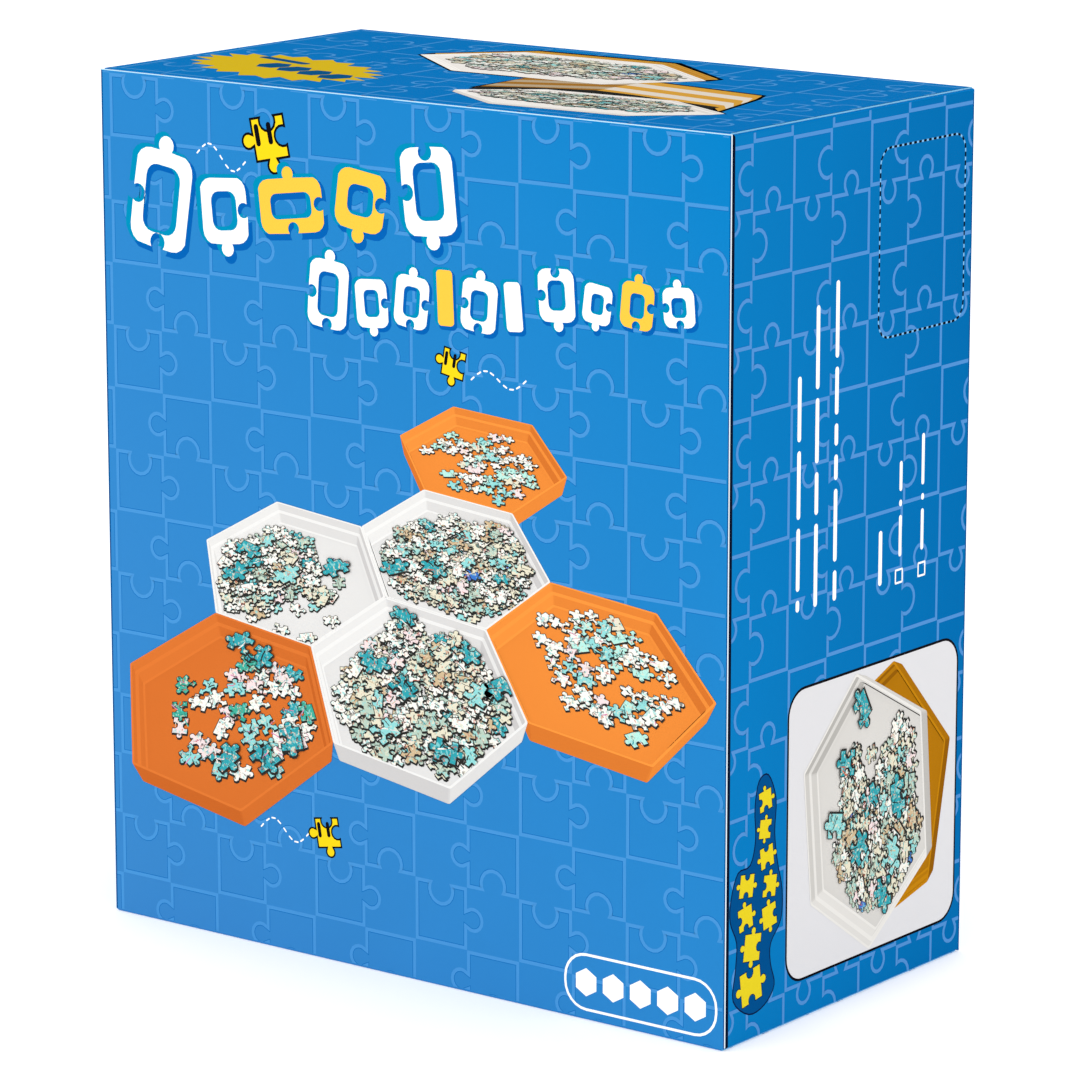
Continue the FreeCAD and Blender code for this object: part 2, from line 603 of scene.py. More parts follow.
def speckle_group():
    """Node group: the small specks of colour that all the pictured pieces carry."""
    name = "Piece specks"
    if name in bpy.data.node_groups:
        return bpy.data.node_groups[name]
    group = bpy.data.node_groups.new(name, "ShaderNodeTree")
    group.interface.new_socket("Colour", in_out="INPUT", socket_type="NodeSocketColor")
    group.interface.new_socket("Colour", in_out="OUTPUT", socket_type="NodeSocketColor")
    nodes, links = group.nodes, group.links
    start, end = nodes.new("NodeGroupInput"), nodes.new("NodeGroupOutput")
    where = nodes.new("ShaderNodeTexCoord")
    colour = start.outputs["Colour"]
    for number, (grain, limit, speck) in enumerate(SPECKS):
        texture = noise(nodes, grain, detail=1)
        texture.noise_dimensions = "4D"
        texture.inputs["W"].default_value = number
        texture.inputs["Distortion"].default_value = SPECK_BEND
        share = nodes.new("ShaderNodeMapRange")
        share.inputs["From Min"].default_value = limit - SPECK_EDGE
        share.inputs["From Max"].default_value = limit + SPECK_EDGE
        share.inputs["To Max"].default_value = SPECK_COVER
        mix = nodes.new("ShaderNodeMix")
        mix.data_type = "RGBA"
        mix.inputs["B"].default_value = (*INKS[speck], 1)
        links.new(where.outputs["Object"], texture.inputs["Vector"])
        links.new(texture.outputs[0], share.inputs["Value"])
        links.new(share.outputs["Result"], mix.inputs["Factor"])
        links.new(colour, mix.inputs["A"])
        colour = mix.outputs["Result"]
    links.new(colour, end.inputs["Colour"])
    return group


def speckle(tree, shader, colour):
    """Puts the pictured pieces' specks on an ink."""
    specks = tree.nodes.new("ShaderNodeGroup")
    specks.node_tree = speckle_group()
    specks.inputs["Colour"].default_value = (*colour, 1)
    tree.links.new(specks.outputs["Colour"], shader.inputs["Base Color"])


def setting_ink(title, colour):
    if title not in bpy.data.materials:
        varnished(title, tuple(colour))
    return bpy.data.materials[title]


def plastic_inks(plastics):
    """The ink of each plastic, from its title, its lit colour and its shaded colour."""
    return {name: plastic_in_print(*look) for name, look in plastics.items()}


def plastic_in_print(title, lit, shade):
    """Ink that runs from shade to light with the piece's own tone attribute."""
    if title in bpy.data.materials:
        return bpy.data.materials[title]
    material, shader, _ = varnished(title, tuple(lit))
    nodes, links = material.node_tree.nodes, material.node_tree.links
    tone = nodes.new("ShaderNodeAttribute")
    tone.attribute_name = "tone"
    mix = nodes.new("ShaderNodeMix")
    mix.data_type = "RGBA"
    mix.inputs["A"].default_value = (*shade, 1)
    mix.inputs["B"].default_value = (*lit, 1)
    links.new(tone.outputs["Fac"], mix.inputs["Factor"])
    links.new(mix.outputs["Result"], shader.inputs["Base Color"])
    return material


class MaskMaker:
    """Builds masks of places on the carton from its Object coordinates."""

    def __init__(self, tree):
        self.nodes, self.links = tree.nodes, tree.links
        where = self.nodes.new("ShaderNodeTexCoord")
        facing = self.nodes.new("ShaderNodeNewGeometry")
        self.position = self.split(where.outputs["Object"])
        self.normal = self.split(facing.outputs["Normal"])

    def split(self, vector):
        parts = self.nodes.new("ShaderNodeSeparateXYZ")
        self.links.new(vector, parts.inputs[0])
        return parts.outputs

    def math(self, operation, first, second=None):
        node = self.nodes.new("ShaderNodeMath")
        node.operation = operation
        for socket, value in zip(node.inputs, (first, second)):
            if isinstance(value, (int, float)):
                socket.default_value = value
            elif value is not None:
                self.links.new(value, socket)
        return node.outputs[0]

    def above(self, value, limit):
        return self.math("GREATER_THAN", value, limit)

    def below(self, value, limit):
        return self.math("LESS_THAN", value, limit)

    def size(self, value):
        return self.math("ABSOLUTE", value)

    def share(self, value, low, high):
        """How far a value has come from low to high, 0 to 1."""
        node = self.nodes.new("ShaderNodeMapRange")
        node.inputs["From Min"].default_value = low
        node.inputs["From Max"].default_value = high
        self.links.new(value, node.inputs["Value"])
        return node.outputs["Result"]

    def all_of(self, *masks):
        total = masks[0]
        for mask in masks[1:]:
            total = self.math("MULTIPLY", total, mask)
        return total

    def any_of(self, *masks):
        total = masks[0]
        for mask in masks[1:]:
            total = self.math("MAXIMUM", total, mask)
        return total

    def mix(self, mask, base, over):
        """base, with over where the mask is 1."""
        node = self.nodes.new("ShaderNodeMix")
        node.data_type = "RGBA"
        self.links.new(mask, node.inputs["Factor"])
        for key, value in (("A", base), ("B", over)):
            if isinstance(value, bpy.types.NodeSocket):
                self.links.new(value, node.inputs[key])
            else:
                node.inputs[key].default_value = (*value, 1)
        return node.outputs["Result"]


SLACK = 0.05 * MM  # how far a mask lies past the edge that it follows
TOWARDS = 0.6  # least part of a normal along an axis, for a face that looks that way
SQUARELY = 0.9  # the same, for a face that looks straight that way
MOTTLE_TONE = 0.10  # how much the ground's tone varies, from its least
LEAST_TONE = 0.95


def carton_material(settings):
    """Blue print that differs by panel, white where the board is cut, a painted highlight beside the seam and
    painted shade down it.
    """
    material, shader, board = varnished("Printed board", tuple(settings.front_blue))
    masks = MaskMaker(material.node_tree)
    x, y, z = masks.position
    normal_x, _, normal_z = masks.normal
    on_sides = masks.above(masks.size(normal_x), TOWARDS)
    on_ends = masks.above(masks.size(normal_z), TOWARDS)
    slope = masks.math("ADD", masks.share(x, LEFT, RIGHT), masks.share(z, FOOT, TOP))
    front = masks.mix(masks.math("MULTIPLY", slope, 0.5), settings.front_blue, settings.front_cyan)
    sides = masks.mix(masks.share(y, FRONT, BACK), settings.side_blue, settings.side_deep)
    colour = masks.mix(on_sides, front, sides)
    colour = masks.mix(on_ends, colour, settings.top_blue)
    cut_front = masks.below(y, FRONT + BOARD * MM + SLACK)
    cut_back = masks.above(y, BACK - BOARD * MM - SLACK)
    high = masks.above(z, TOP - BOARD * MM + SLACK)
    low = masks.below(z, FOOT + BOARD * MM - SLACK)
    # The board's cut edge down the seam, with a painted highlight beside it on the front
    seam_cut_and_highlight = masks.all_of(cut_front, masks.above(x, RIGHT - SEAM_HIGHLIGHT * MM))
    top_cut = masks.all_of(cut_front, masks.above(normal_z, SQUARELY))
    bottom_cut = masks.all_of(cut_back, masks.below(normal_z, -SQUARELY))
    lid_ends = masks.all_of(masks.any_of(high, low), masks.above(masks.size(normal_x), SQUARELY))
    cut_edges_and_highlight = masks.any_of(seam_cut_and_highlight, top_cut, bottom_cut)
    # Painted shade on the right panel just past the seam's fold, where the groove lies in shade
    painted_seam_shade = masks.all_of(
        masks.above(x, RIGHT - FOLD_RADIUS * MM),
        masks.above(y, FRONT + BOARD * MM + SLACK),
        masks.below(y, FRONT + (BOARD + SEAM_GAP + FOLD_RADIUS + SEAM_SHADE) * MM),
    )
    colour = masks.mix(painted_seam_shade, colour, settings.painted_edge_shade)
    colour = masks.mix(lid_ends, colour, settings.lid_line)
    colour = masks.mix(cut_edges_and_highlight, colour, settings.core_and_highlight_white)
    tone = masks.math("MULTIPLY_ADD", board.outputs["Mottle"], MOTTLE_TONE)
    tone.node.inputs[2].default_value = LEAST_TONE
    toned = masks.nodes.new("ShaderNodeVectorMath")
    toned.operation = "SCALE"
    masks.links.new(colour, toned.inputs[0])
    masks.links.new(tone, toned.inputs["Scale"])
    masks.links.new(toned.outputs[0], shader.inputs["Base Color"])
    return material


# The printed pictures of trays

class PictureView:
    """The eye of a printed picture. It flattens what is modelled at its real size, in
    millimetres on a table at height 0, to millimetres across and up the panel."""

    def __init__(
        self, turn, tilt, distance, zoom, aim, centre, roll, quarter_turn=False, height_share=1.0
    ):
        turn, tilt, roll = math.radians(turn), math.radians(tilt), math.radians(roll)
        flat = math.cos(tilt)
        self.forward = Vector((math.sin(turn) * flat, math.cos(turn) * flat, -math.sin(tilt)))
        right = Vector((math.cos(turn), -math.sin(turn), 0))
        up = right.cross(self.forward)
        self.right = right * math.cos(roll) + up * math.sin(roll)
        self.up = up * math.cos(roll) - right * math.sin(roll)
        self.eye = Vector((*aim, 0)) - self.forward * distance
        self.zoom = zoom
        self.centre = centre
        self.quarter_turn = quarter_turn
        self.height_share = height_share

    def lowered(self, point):
        return Vector((point.x, point.y, point.z * self.height_share))

    def flatten(self, point):
        ray = self.lowered(point) - self.eye
        share = self.zoom / ray.dot(self.forward)
        across = self.centre[0] + share * ray.dot(self.right)
        up = self.centre[1] + share * ray.dot(self.up)
        return (-up, across) if self.quarter_turn else (across, up)

    def sees(self, point, normal):
        facing = Vector((normal.x, normal.y, normal.z / self.height_share))
        return (self.eye - self.lowered(point)).dot(facing) > 0


# A tray's order counts from the farthest; each hides those before it
Tray = namedtuple("Tray", "plastic across back turn raise_by order")

# A tray's section from its foot outside to the middle of its floor: share of the radius
# (or inset from it), and share of the height
TRAY_SECTION = (
    ("foot", 0.962, 0.0),
    ("rim outside", 1.0, 1.0),
    ("rim inside", 0.978, 1.0),
    ("upper wall", 0.968, 0.66),
    ("ledge", 0.935, 0.60),
    ("lower wall", 0.915, 0.16),
    ("floor edge", 0.895, 0.12),
    ("floor shade", 0.84, 0.12),
    ("floor", 0.5, 0.12),
)
OUTSIDE_RINGS = 2  # outer wall and rim, which hide what lies behind them
LIGHT = Vector((0.55, -0.25, 0.8)).normalized()
WALL_SHADE = 0.22  # tone of a wall that looks away from the light
WALL_LIGHT = 0.85  # and how much a wall gains that looks straight at it
FLOOR_TONE = 0.74
FLOOR_SHADE = 0.05  # how much darker the floor is, ring by ring, towards its wall
CORNER_ROUND = 0.015  # of the radius


def rounded_hexagon(radius):
    points = []
    cut = radius * CORNER_ROUND
    for corner in range(6):
        here = hexagon_corner(radius, corner)
        before = hexagon_corner(radius, corner - 1)
        after = hexagon_corner(radius, corner + 1)
        start = here + (before - here).normalized() * cut
        end = here + (after - here).normalized() * cut
        points += [start, (start + end + here * 2) / 4, end]
    return points


def model_tray(settings):
    """One tray at its real size in millimetres, made ring by ring from foot to floor."""
    radius = settings.tray_radius / MM
    height = settings.tray_height / MM
    outline = rounded_hexagon(radius)
    tray = add_circle(len(outline), "NOTHING", radius=1)
    _, share, level = TRAY_SECTION[0]
    for vertex, point in zip(tray.data.vertices, outline):
        vertex.co = (point.x * share, point.y * share, height * level)
    edit(tray)
    for _, next_share, next_level in TRAY_SECTION[1:]:
        rise = (0, 0, height * (next_level - level))
        bpy.ops.mesh.extrude_region_move(TRANSFORM_OT_translate={"value": rise})
        scale = next_share / share
        bpy.ops.transform.resize(value=(scale, scale, 1), center_override=(0, 0, 0))
        share, level = next_share, next_level
    bpy.ops.mesh.edge_face_add()
    bpy.ops.mesh.select_all(action="SELECT")
    bpy.ops.mesh.normals_make_consistent(inside=False)
    leave_edit()
    floor = max(tray.data.polygons, key=lambda face: face.area)
    if floor.normal.z < 0:
        tray.data.flip_normals()
    return tray


def ring_of(face, ring_size):
    """Which band of the section a face belongs to."""
    return min(face.vertices) // ring_size


def tone_faces(mesh, ring_size):
    """Writes the tone attribute: light on each face, with a soft shade round the floor."""
    tone = mesh.attributes.new("tone", "FLOAT", "CORNER")
    names = [name for name, _, _ in TRAY_SECTION]
    rim, floor_edge, floor = (names.index(name) for name in ("rim outside", "floor edge", "floor"))
    for face in mesh.polygons:
        ring = ring_of(face, ring_size)
        light = WALL_SHADE + WALL_LIGHT * max(0.0, face.normal.dot(LIGHT))
        if ring == rim:
            light = 1.0
        for loop in face.loop_indices:
            value = light
            if ring >= floor_edge:
                rings_out = floor - mesh.loops[loop].vertex_index // ring_size
                value = FLOOR_TONE - FLOOR_SHADE * rings_out
            tone.data[loop].value = min(1.0, value)


def picture_tray(view, template, tray, plastic, ring_size):
    """A flattened tray as two fields: its basin, and the rim and outer wall before it."""
    halves = []
    for outside in (False, True):
        half = copy_of(template, tray_matrix(tray))
        tone_faces(half.data, ring_size)
        half.data.materials.append(plastic)
        edit(half)
        bpy.ops.mesh.select_mode(type="FACE")
        bpy.ops.mesh.select_all(action="DESELECT")
        leave_edit()
        for face in half.data.polygons:
            is_outside = ring_of(face, ring_size) < OUTSIDE_RINGS
            hidden = not view.sees(face.center, face.normal)
            face.select = hidden or is_outside != outside
        bpy.ops.object.mode_set(mode="EDIT")
        bpy.ops.mesh.delete(type="FACE")
        leave_edit()
        flatten_mesh(half.data, view, TRAY_LAYER + TRAY_LAYERS * tray.order + outside)
        halves.append(half)
    return halves


def tray_matrix(tray):
    move = Matrix.Translation((tray.across, tray.back, tray.raise_by))
    return move @ Matrix.Rotation(math.radians(tray.turn), 4, "Z")


def flatten_mesh(mesh, view, layer):
    for vertex in mesh.vertices:
        across, up = view.flatten(vertex.co)
        vertex.co = (across * MM, up * MM, layer * INK_STEP * MM)


# Loose pieces in the trays

PIECE_KINDS = (
    ("knob", "hole", "knob", "hole"),
    ("hole", "knob", "knob", "knob"),
    ("knob", "knob", "hole", "hole"),
    ("flat", "knob", "hole", "knob"),
    ("hole", "hole", "hole", "knob"),
)

# What colours the pieces and the marks on them have, and how often
WHITE_TRAY_MIX = (
    ("piece_white", 34), ("piece_cream", 24), ("piece_sage", 15), ("piece_aqua", 9), ("piece_teal", 4),
    ("piece_tan", 8), ("piece_blush", 4), ("piece_blue", 1),
)
SIDE_TRAY_MIX = (
    ("piece_white", 34), ("piece_cream", 30), ("piece_sage", 14), ("piece_aqua", 4), ("piece_tan", 10),
    ("piece_blush", 4), ("piece_blue", 3),
)
PALE_MIX = (
    ("piece_white", 44), ("piece_mint", 22), ("piece_aqua", 18), ("piece_blush", 12), ("piece_cream", 6),
)
DEEP_MIX = (
    ("piece_white", 30), ("piece_blush", 16), ("piece_aqua", 16), ("piece_teal", 16), ("piece_green", 12),
    ("piece_grey", 4),
)
ACCENT_MIX = (("piece_teal", 3), ("piece_aqua", 1))
MARK_MIX = (
    ("pile_dark", 60), ("piece_grey", 12), ("piece_teal", 8), ("piece_rust", 8), ("piece_white", 8),
    ("piece_tan", 6), ("piece_blush", 8),
)
BRIGHT_MARK_MIX = (
    ("pile_dark", 26), ("piece_pink", 22), ("piece_teal", 18), ("piece_blush", 12), ("piece_green", 8),
    ("piece_white", 8),
)

# A heap lies inside its outline, in millimetres from its tray's middle. Its gap is the least
# distance between two pieces' middles, of a piece's size. Its chain is the share of pieces
# that lie against one before them. Singles lie apart, and accents are larger teal pieces
# on top. The piece share is how large its pieces are, of the usual size.
Heap = namedtuple(
    "Heap",
    "tray count outline gap chain mix marks seed singles accents piece_share",
    defaults=((), (), 1.0),
)
HEAP_SEEDS = 2  # a heap draws its places from its own seed, and its looks from the next
PLACE_TRIES = 60  # for each piece wanted
LEVELS = 12
LOWEST_PIECE = 4  # height over the tray's foot, in millimetres
LEVEL_RISE = 1.5
PIECE_THICKNESS = 1
SHADOW_SHIFT = (0.7, -1.0)  # of a piece's shadow, across and back, in millimetres

# Of a piece's size, which counts its knobs
BODY_WIDTH = 0.72
BODY_HEIGHT = 0.64
CHAIN_STEP = 0.72  # from a piece's middle to the next one's in a chain
NEAR = 0.95  # pieces nearer than this never share a level
ACCENT_SHARE = 1.35

# The marks on one piece: how many, how far from its middle, how long and how wide
MARK_COUNTS = (1, 2, 3, 4)
MARK_REACH = 7  # in millimetres
MARK_LENGTHS = (0.4, 1.1)  # of the stroke's own
MARK_WIDTHS = (0.4, 1.0)


def pick(mix, draw):
    names, weights = zip(*mix)
    return draw.choices(names, weights)[0]


def loose_piece_templates(size, edge):
    """A shadow and a dark-edged piece for each kind of loose piece, in millimetres."""
    templates = []
    for number, kind in enumerate(PIECE_KINDS):
        outline = jigsaw_outline(size * BODY_WIDTH, size * BODY_HEIGHT, *kind, knob_steps=5)
        dark = ink("pile_dark")
        shadow = flat_field(f"loose_shadow_{number}", outline, dark)
        piece = bordered_field(f"loose_piece_{number}", outline, dark, edge, ink("piece_white"))
        for field in (shadow, piece):
            field.data.transform(Matrix.Scale(1 / MM, 4))
        templates.append((shadow, piece))
    return templates


def mark_template():
    """A short bent stroke, for what is printed on a loose piece, in millimetres."""
    outline = [(-5, -0.9), (0, -0.4), (5, -1.2), (5.4, 0.4), (0, 1.1), (-5, 0.8)]
    field = flat_field("piece_mark", outline, ink("pile_dark"))
    field.data.transform(Matrix.Scale(1 / MM, 4))
    return field


def inside(outline, across, back):
    """True if a point lies inside a closed outline."""
    odd = False
    for (ax, ay), (bx, by) in zip(outline, outline[1:] + outline[:1]):
        if (ay > back) != (by > back) and across < ax + (bx - ax) * (back - ay) / (by - ay):
            odd = not odd
    return odd


def heap_places(heap, size):
    """Places of the loose pieces in one tray, each on a level that no neighbour shares."""
    draw = random.Random(heap.seed)
    lows, highs = ([limit(values) for values in zip(*heap.outline)] for limit in (min, max))
    places = [(across, back, draw.uniform(0, 360), 0) for across, back in heap.singles]
    wanted = len(places) + heap.count
    for _ in range(PLACE_TRIES * heap.count):
        if len(places) == wanted:
            break
        across, back = (draw.uniform(low, high) for low, high in zip(lows, highs))
        if draw.random() < heap.chain and len(places) > len(heap.singles):
            beside = draw.choice(places[len(heap.singles):])
            angle = draw.uniform(0, 2 * math.pi)
            across = beside[0] + CHAIN_STEP * size * math.cos(angle)
            back = beside[1] + CHAIN_STEP * size * math.sin(angle)
        if not inside(heap.outline, across, back):
            continue
        near = [other for other in places if math.dist(other[:2], (across, back)) < size * NEAR]
        if any(math.dist(other[:2], (across, back)) < size * heap.gap for other in near):
            continue
        taken = {other[3] for other in near}
        level = next((step for step in range(LEVELS) if step not in taken), None)
        if level is not None:
            places.append((across, back, draw.uniform(0, 360), level))
    return places


def lay_heap(view, heap, settings, templates, mark):
    """All the loose pieces of one tray: a shadow, the piece and the marks on it."""
    draw = random.Random(heap.seed + 1)
    size = settings.piece_size / MM * heap.piece_share
    to_tray = tray_matrix(heap.tray)
    parts = []
    places = [(*found, heap.mix, heap.piece_share) for found in heap_places(heap, size)]
    for accent in heap.accents:
        places.append((*accent, draw.uniform(0, 360), LEVELS, ACCENT_MIX, ACCENT_SHARE))
    for across, back, turn, level, mix, scale in places:
        shadow, piece = draw.choice(templates)
        layer = PILE_LAYER + PIECE_LAYERS * level
        spin = Matrix.Rotation(math.radians(turn), 4, "Z") @ Matrix.Scale(scale, 4)
        rise = LOWEST_PIECE + LEVEL_RISE * level
        lower = Matrix.Translation((across + SHADOW_SHIFT[0], back + SHADOW_SHIFT[1], rise))
        upper = Matrix.Translation((across, back, rise + PIECE_THICKNESS))
        shade = copy_of(shadow, to_tray @ lower @ spin)
        flatten_mesh(shade.data, view, layer)
        top = copy_of(piece, to_tray @ upper @ spin, ink(pick(mix, draw)))
        flatten_mesh(top.data, view, layer + 1)
        parts += [shade, top]
        for _ in range(draw.choice(MARK_COUNTS)):
            reach = (-MARK_REACH, MARK_REACH)
            offset = Matrix.Translation((draw.uniform(*reach), draw.uniform(*reach), 0))
            own_turn = Matrix.Rotation(draw.uniform(0, math.pi), 4, "Z")
            stretch = Matrix.Diagonal((draw.uniform(*MARK_LENGTHS), draw.uniform(*MARK_WIDTHS), 1, 1))
            matrix = to_tray @ upper @ spin @ offset @ own_turn @ stretch
            stroke = copy_of(mark, matrix, ink(pick(heap.marks, draw)))
            flatten_mesh(stroke.data, view, layer + 2)
            parts.append(stroke)
    heap_print = join("heap", parts)
    clip_to_rim(heap_print, view, heap.tray, settings)
    return heap_print


def clip_to_rim(heap_print, view, tray, settings):
    """Cuts off what the tray's near wall hides: all that lies past the rim's inner edge."""
    share = {name: share for name, share, _ in TRAY_SECTION}["rim inside"]
    to_tray = tray_matrix(tray)
    corners = []
    for corner in range(6):
        point = hexagon_corner(settings.tray_radius / MM * share, corner)
        point.z = settings.tray_height / MM
        corners.append(Vector(view.flatten(to_tray @ point)))
    edit(heap_print)
    for here, there in zip(corners, corners[1:] + corners[:1]):
        side = (there - here).normalized()
        cut_off(here.x, here.y, side.y, -side.x)
    leave_edit()


def print_trays(name, panel, view, trays, heaps, settings, plastics):
    """A picture of trays and their loose pieces, as two pieces of print on one panel."""
    template = model_tray(settings)
    ring_size = len(rounded_hexagon(1))
    shells = []
    for tray in trays:
        shells += picture_tray(view, template, tray, plastics[tray.plastic], ring_size)
    remove(template)
    lay_on(join(f"{name}_trays", shells), panel)
    templates = loose_piece_templates(settings.piece_size / MM, settings.piece_edge / MM)
    mark = mark_template()
    parts = [lay_heap(view, heap, settings, templates, mark) for heap in heaps]
    for used in (*sum(templates, ()), mark):
        remove(used)
    lay_on(join(f"{name}_loose_pieces", parts), panel)


# The front picture: six trays in a honeycomb

FRONT_VIEW = PictureView(
    turn=-16.2,
    tilt=40.0,
    distance=1006,
    zoom=299.5,
    aim=(-32.3, 88.5),
    centre=(118.0, 105.1),
    roll=-3.6,
)

# Each tray's plastic, its column and row in the honeycomb, and its order
FRONT_TRAYS = {
    "top": ("orange", 0, 2, 0),
    "white_top": ("white", 0, 1, 1),
    "white_left": ("white", -1, 0, 2),
    "right": ("orange", 1, 0, 2),
    "white_middle": ("white", 0, 0, 3),
    "left": ("deep", -1, -1, 4),
}

# Each heap's tray, count, gap, chain, mixes and piece share
FRONT_PILES = (
    ("white_left", 180, 0.25, 0.0, WHITE_TRAY_MIX, MARK_MIX, 0.86),
    ("white_top", 290, 0.25, 0.0, WHITE_TRAY_MIX, MARK_MIX, 0.84),
    ("white_middle", 235, 0.26, 0.0, WHITE_TRAY_MIX, MARK_MIX, 0.92),
    ("left", 38, 0.5, 0.7, DEEP_MIX, BRIGHT_MARK_MIX, 1.0),
    ("right", 46, 0.5, 0.75, PALE_MIX, BRIGHT_MARK_MIX, 0.96),
    ("top", 44, 0.5, 0.75, PALE_MIX, MARK_MIX, 0.94),
)

# The heaps' outlines, in millimetres from each tray's middle
HEAP_OUTLINES = {
    "white_left": (
        (-50, 84), (-24, 78), (5, 66), (22, 26), (36, 4), (58, -6), (52, -22), (34, -30), (16, -16),
        (-4, -32), (-14, -62), (-24, -80), (-60, -80), (-86, -50), (-104, -6), (-90, 30),
    ),
    "white_top": (
        (-60, 72), (-38, 66), (-26, 96), (-8, 96), (2, 76), (30, 96), (58, 98), (74, 68), (92, 42),
        (100, 16), (92, -14), (56, -76), (-26, -78), (-70, -66), (-66, -40), (-86, -34), (-92, 0),
        (-82, 34),
    ),
    "white_middle": (
        (-40, 102), (-22, 102), (-10, 84), (12, 100), (36, 98), (62, 76), (96, 36), (104, 8), (88, -26),
        (70, -70), (44, -78), (28, -58), (16, -86), (-40, -86), (-72, -56), (-90, -22), (-80, 30),
        (-54, 64),
    ),
    "left": (
        (-16, 90), (32, 96), (62, 88), (88, 40), (94, 8), (90, -14), (76, -44), (56, -56), (26, -72),
        (10, -64), (-28, -66), (-52, -50), (-72, -4), (-70, 26), (-50, 38), (-14, 42), (-22, 70),
    ),
    "right": (
        (-42, 102), (5, 102), (38, 104), (68, 74), (98, 24), (92, -14), (62, -74), (44, -78), (28, -56),
        (2, -54), (-22, -62), (-52, -48), (-60, -26), (-76, -4), (-86, 28), (-76, 58), (-50, 92),
    ),
    "top": (
        (-64, 66), (-26, 80), (22, 102), (46, 88), (80, 54), (84, 10), (76, -30), (58, -64), (34, -64),
        (-10, -74), (-50, -70), (-56, -44), (-84, -42), (-96, 10), (-80, 34),
    ),
}
HEAP_SINGLES = {"white_left": ((42, 54), (56, 25), (20, -43), (68, -44), (9, -82), (46, -81))}

HEAP_ACCENTS = {
    "white_left": ((-69, 10), (-4, -11), (-70, -33), (55, 26)),
    "white_top": ((-67, -52), (-17, -34)),
    "white_middle": (
        (-36, 90), (-52, 14), (-11, -8), (72, 17), (48, 72), (-16, -72), (52, -68), (94, 36),
    ),
    "left": ((24, -62), (66, -45), (84, -12), (11, 75), (-17, 84)),
}


def honeycomb(radius, column, row):
    """The middle of a tray in a honeycomb of trays that touch."""
    return 1.5 * radius * column, math.sqrt(3) * radius * (row + 0.5 * (column % 2))


# Operators

class PrintOperator:
    bl_options = {"REGISTER", "UNDO"}


class CARTON_OT_board(PrintOperator, bpy.types.Operator):
    """Gives the carton its printed board: blue panels, white cut edges, a painted highlight and painted shade
    at the seam, satin varnish
    """

    bl_idname = "carton.board"
    bl_label = "Printed Board"

    def execute(self, context):
        material = carton_material(context.scene.carton_print)
        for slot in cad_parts["carton"].material_slots:
            slot.material = material
        return {"FINISHED"}


# Where a panel's pattern starts: the lower left corner of one outlined piece, and which
# way its knob points
Pattern = namedtuple("Pattern", "panel start_across start_up sideways")

PATTERNS = (
    Pattern("front", 3.8, 13.0, False),
    Pattern("right", 10.6, 29.6, True),
    Pattern("back", 3.8, 13.0, False),
    Pattern("left", 10.6, 29.6, True),
    Pattern("top", 3.8, 4.0, False),
    Pattern("bottom", 3.8, 4.0, False),
)


class CARTON_OT_jigsaw_lines(PrintOperator, bpy.types.Operator):
    """Prints the jigsaw lines on all six panels"""

    bl_idname = "carton.jigsaw_lines"
    bl_label = "Jigsaw Lines"

    FOLD_CLEARANCE = 0.05  # between the lines' ends and the folds

    def execute(self, context):
        for pattern in PATTERNS:
            self.print_pattern(context.scene.carton_print, pattern)
        return {"FINISHED"}

    def print_pattern(self, settings, pattern):
        panel = PANELS[pattern.panel]
        pair = self.outlined_pair(settings, pattern.sideways)
        width, height = settings.piece_width / MM, settings.piece_height / MM
        rings = []
        for template, (odd_across, odd_up) in zip(pair, ((0, 0), (1, 1))):
            for column in range(-2, math.ceil(panel.width / width) + 1, 2):
                for row in range(-2, math.ceil(panel.height / height) + 1, 2):
                    across = pattern.start_across + (column + odd_across + 0.5) * width
                    up = pattern.start_up + (row + odd_up + 0.5) * height
                    rings.append(copy_of(template, place(across, up)))
        for template in pair:
            remove(template)
        lines = join(f"{panel.name}_jigsaw_lines", rings)
        edge = FOLD_RADIUS + self.FOLD_CLEARANCE
        seam = BOARD + SEAM_GAP + SEAM_SHADE if panel.name == "right" else 0
        clip(lines, edge + seam, edge, panel.width - edge, panel.height - edge)
        lay_on(raise_to(lines, LINES_LAYER), panel)

    def outlined_pair(self, settings, sideways):
        """The two outlined pieces of the pattern; every other piece is bare."""
        kinds = [("flat", "knob", "hole", "flat"), ("hole", "flat", "flat", "knob")]
        if sideways:
            kinds = [("flat", "flat", "knob", "hole"), ("knob", "hole", "flat", "flat")]
        return [self.outlined_piece(settings, kind, sideways) for kind in kinds]

    def outlined_piece(self, settings, kind, sideways):
        """A band of line ink inside a piece's outline, with a thin dark edge along one side."""
        if sideways:
            line = setting_ink("Ink side line blue", settings.side_line_blue)
        else:
            line = setting_ink("Ink line blue", settings.line_blue)
        shade = setting_ink("Ink line shade", settings.line_shade)
        width, height = settings.piece_width / MM, settings.piece_height / MM
        outline = jigsaw_outline(width, height, *kind, knob_steps=12)
        field = flat_field("outlined_piece", outline, line)
        field.data.materials.append(shade)
        edit(field)
        bpy.ops.mesh.inset(thickness=settings.line_width)
        bpy.ops.mesh.inset(thickness=settings.line_shade_width)
        bpy.ops.mesh.delete(type="FACE")
        leave_edit()
        bands = len(outline)
        for number, face in enumerate(field.data.polygons):
            face.material_index = 0 if number < bands else 1
        return field


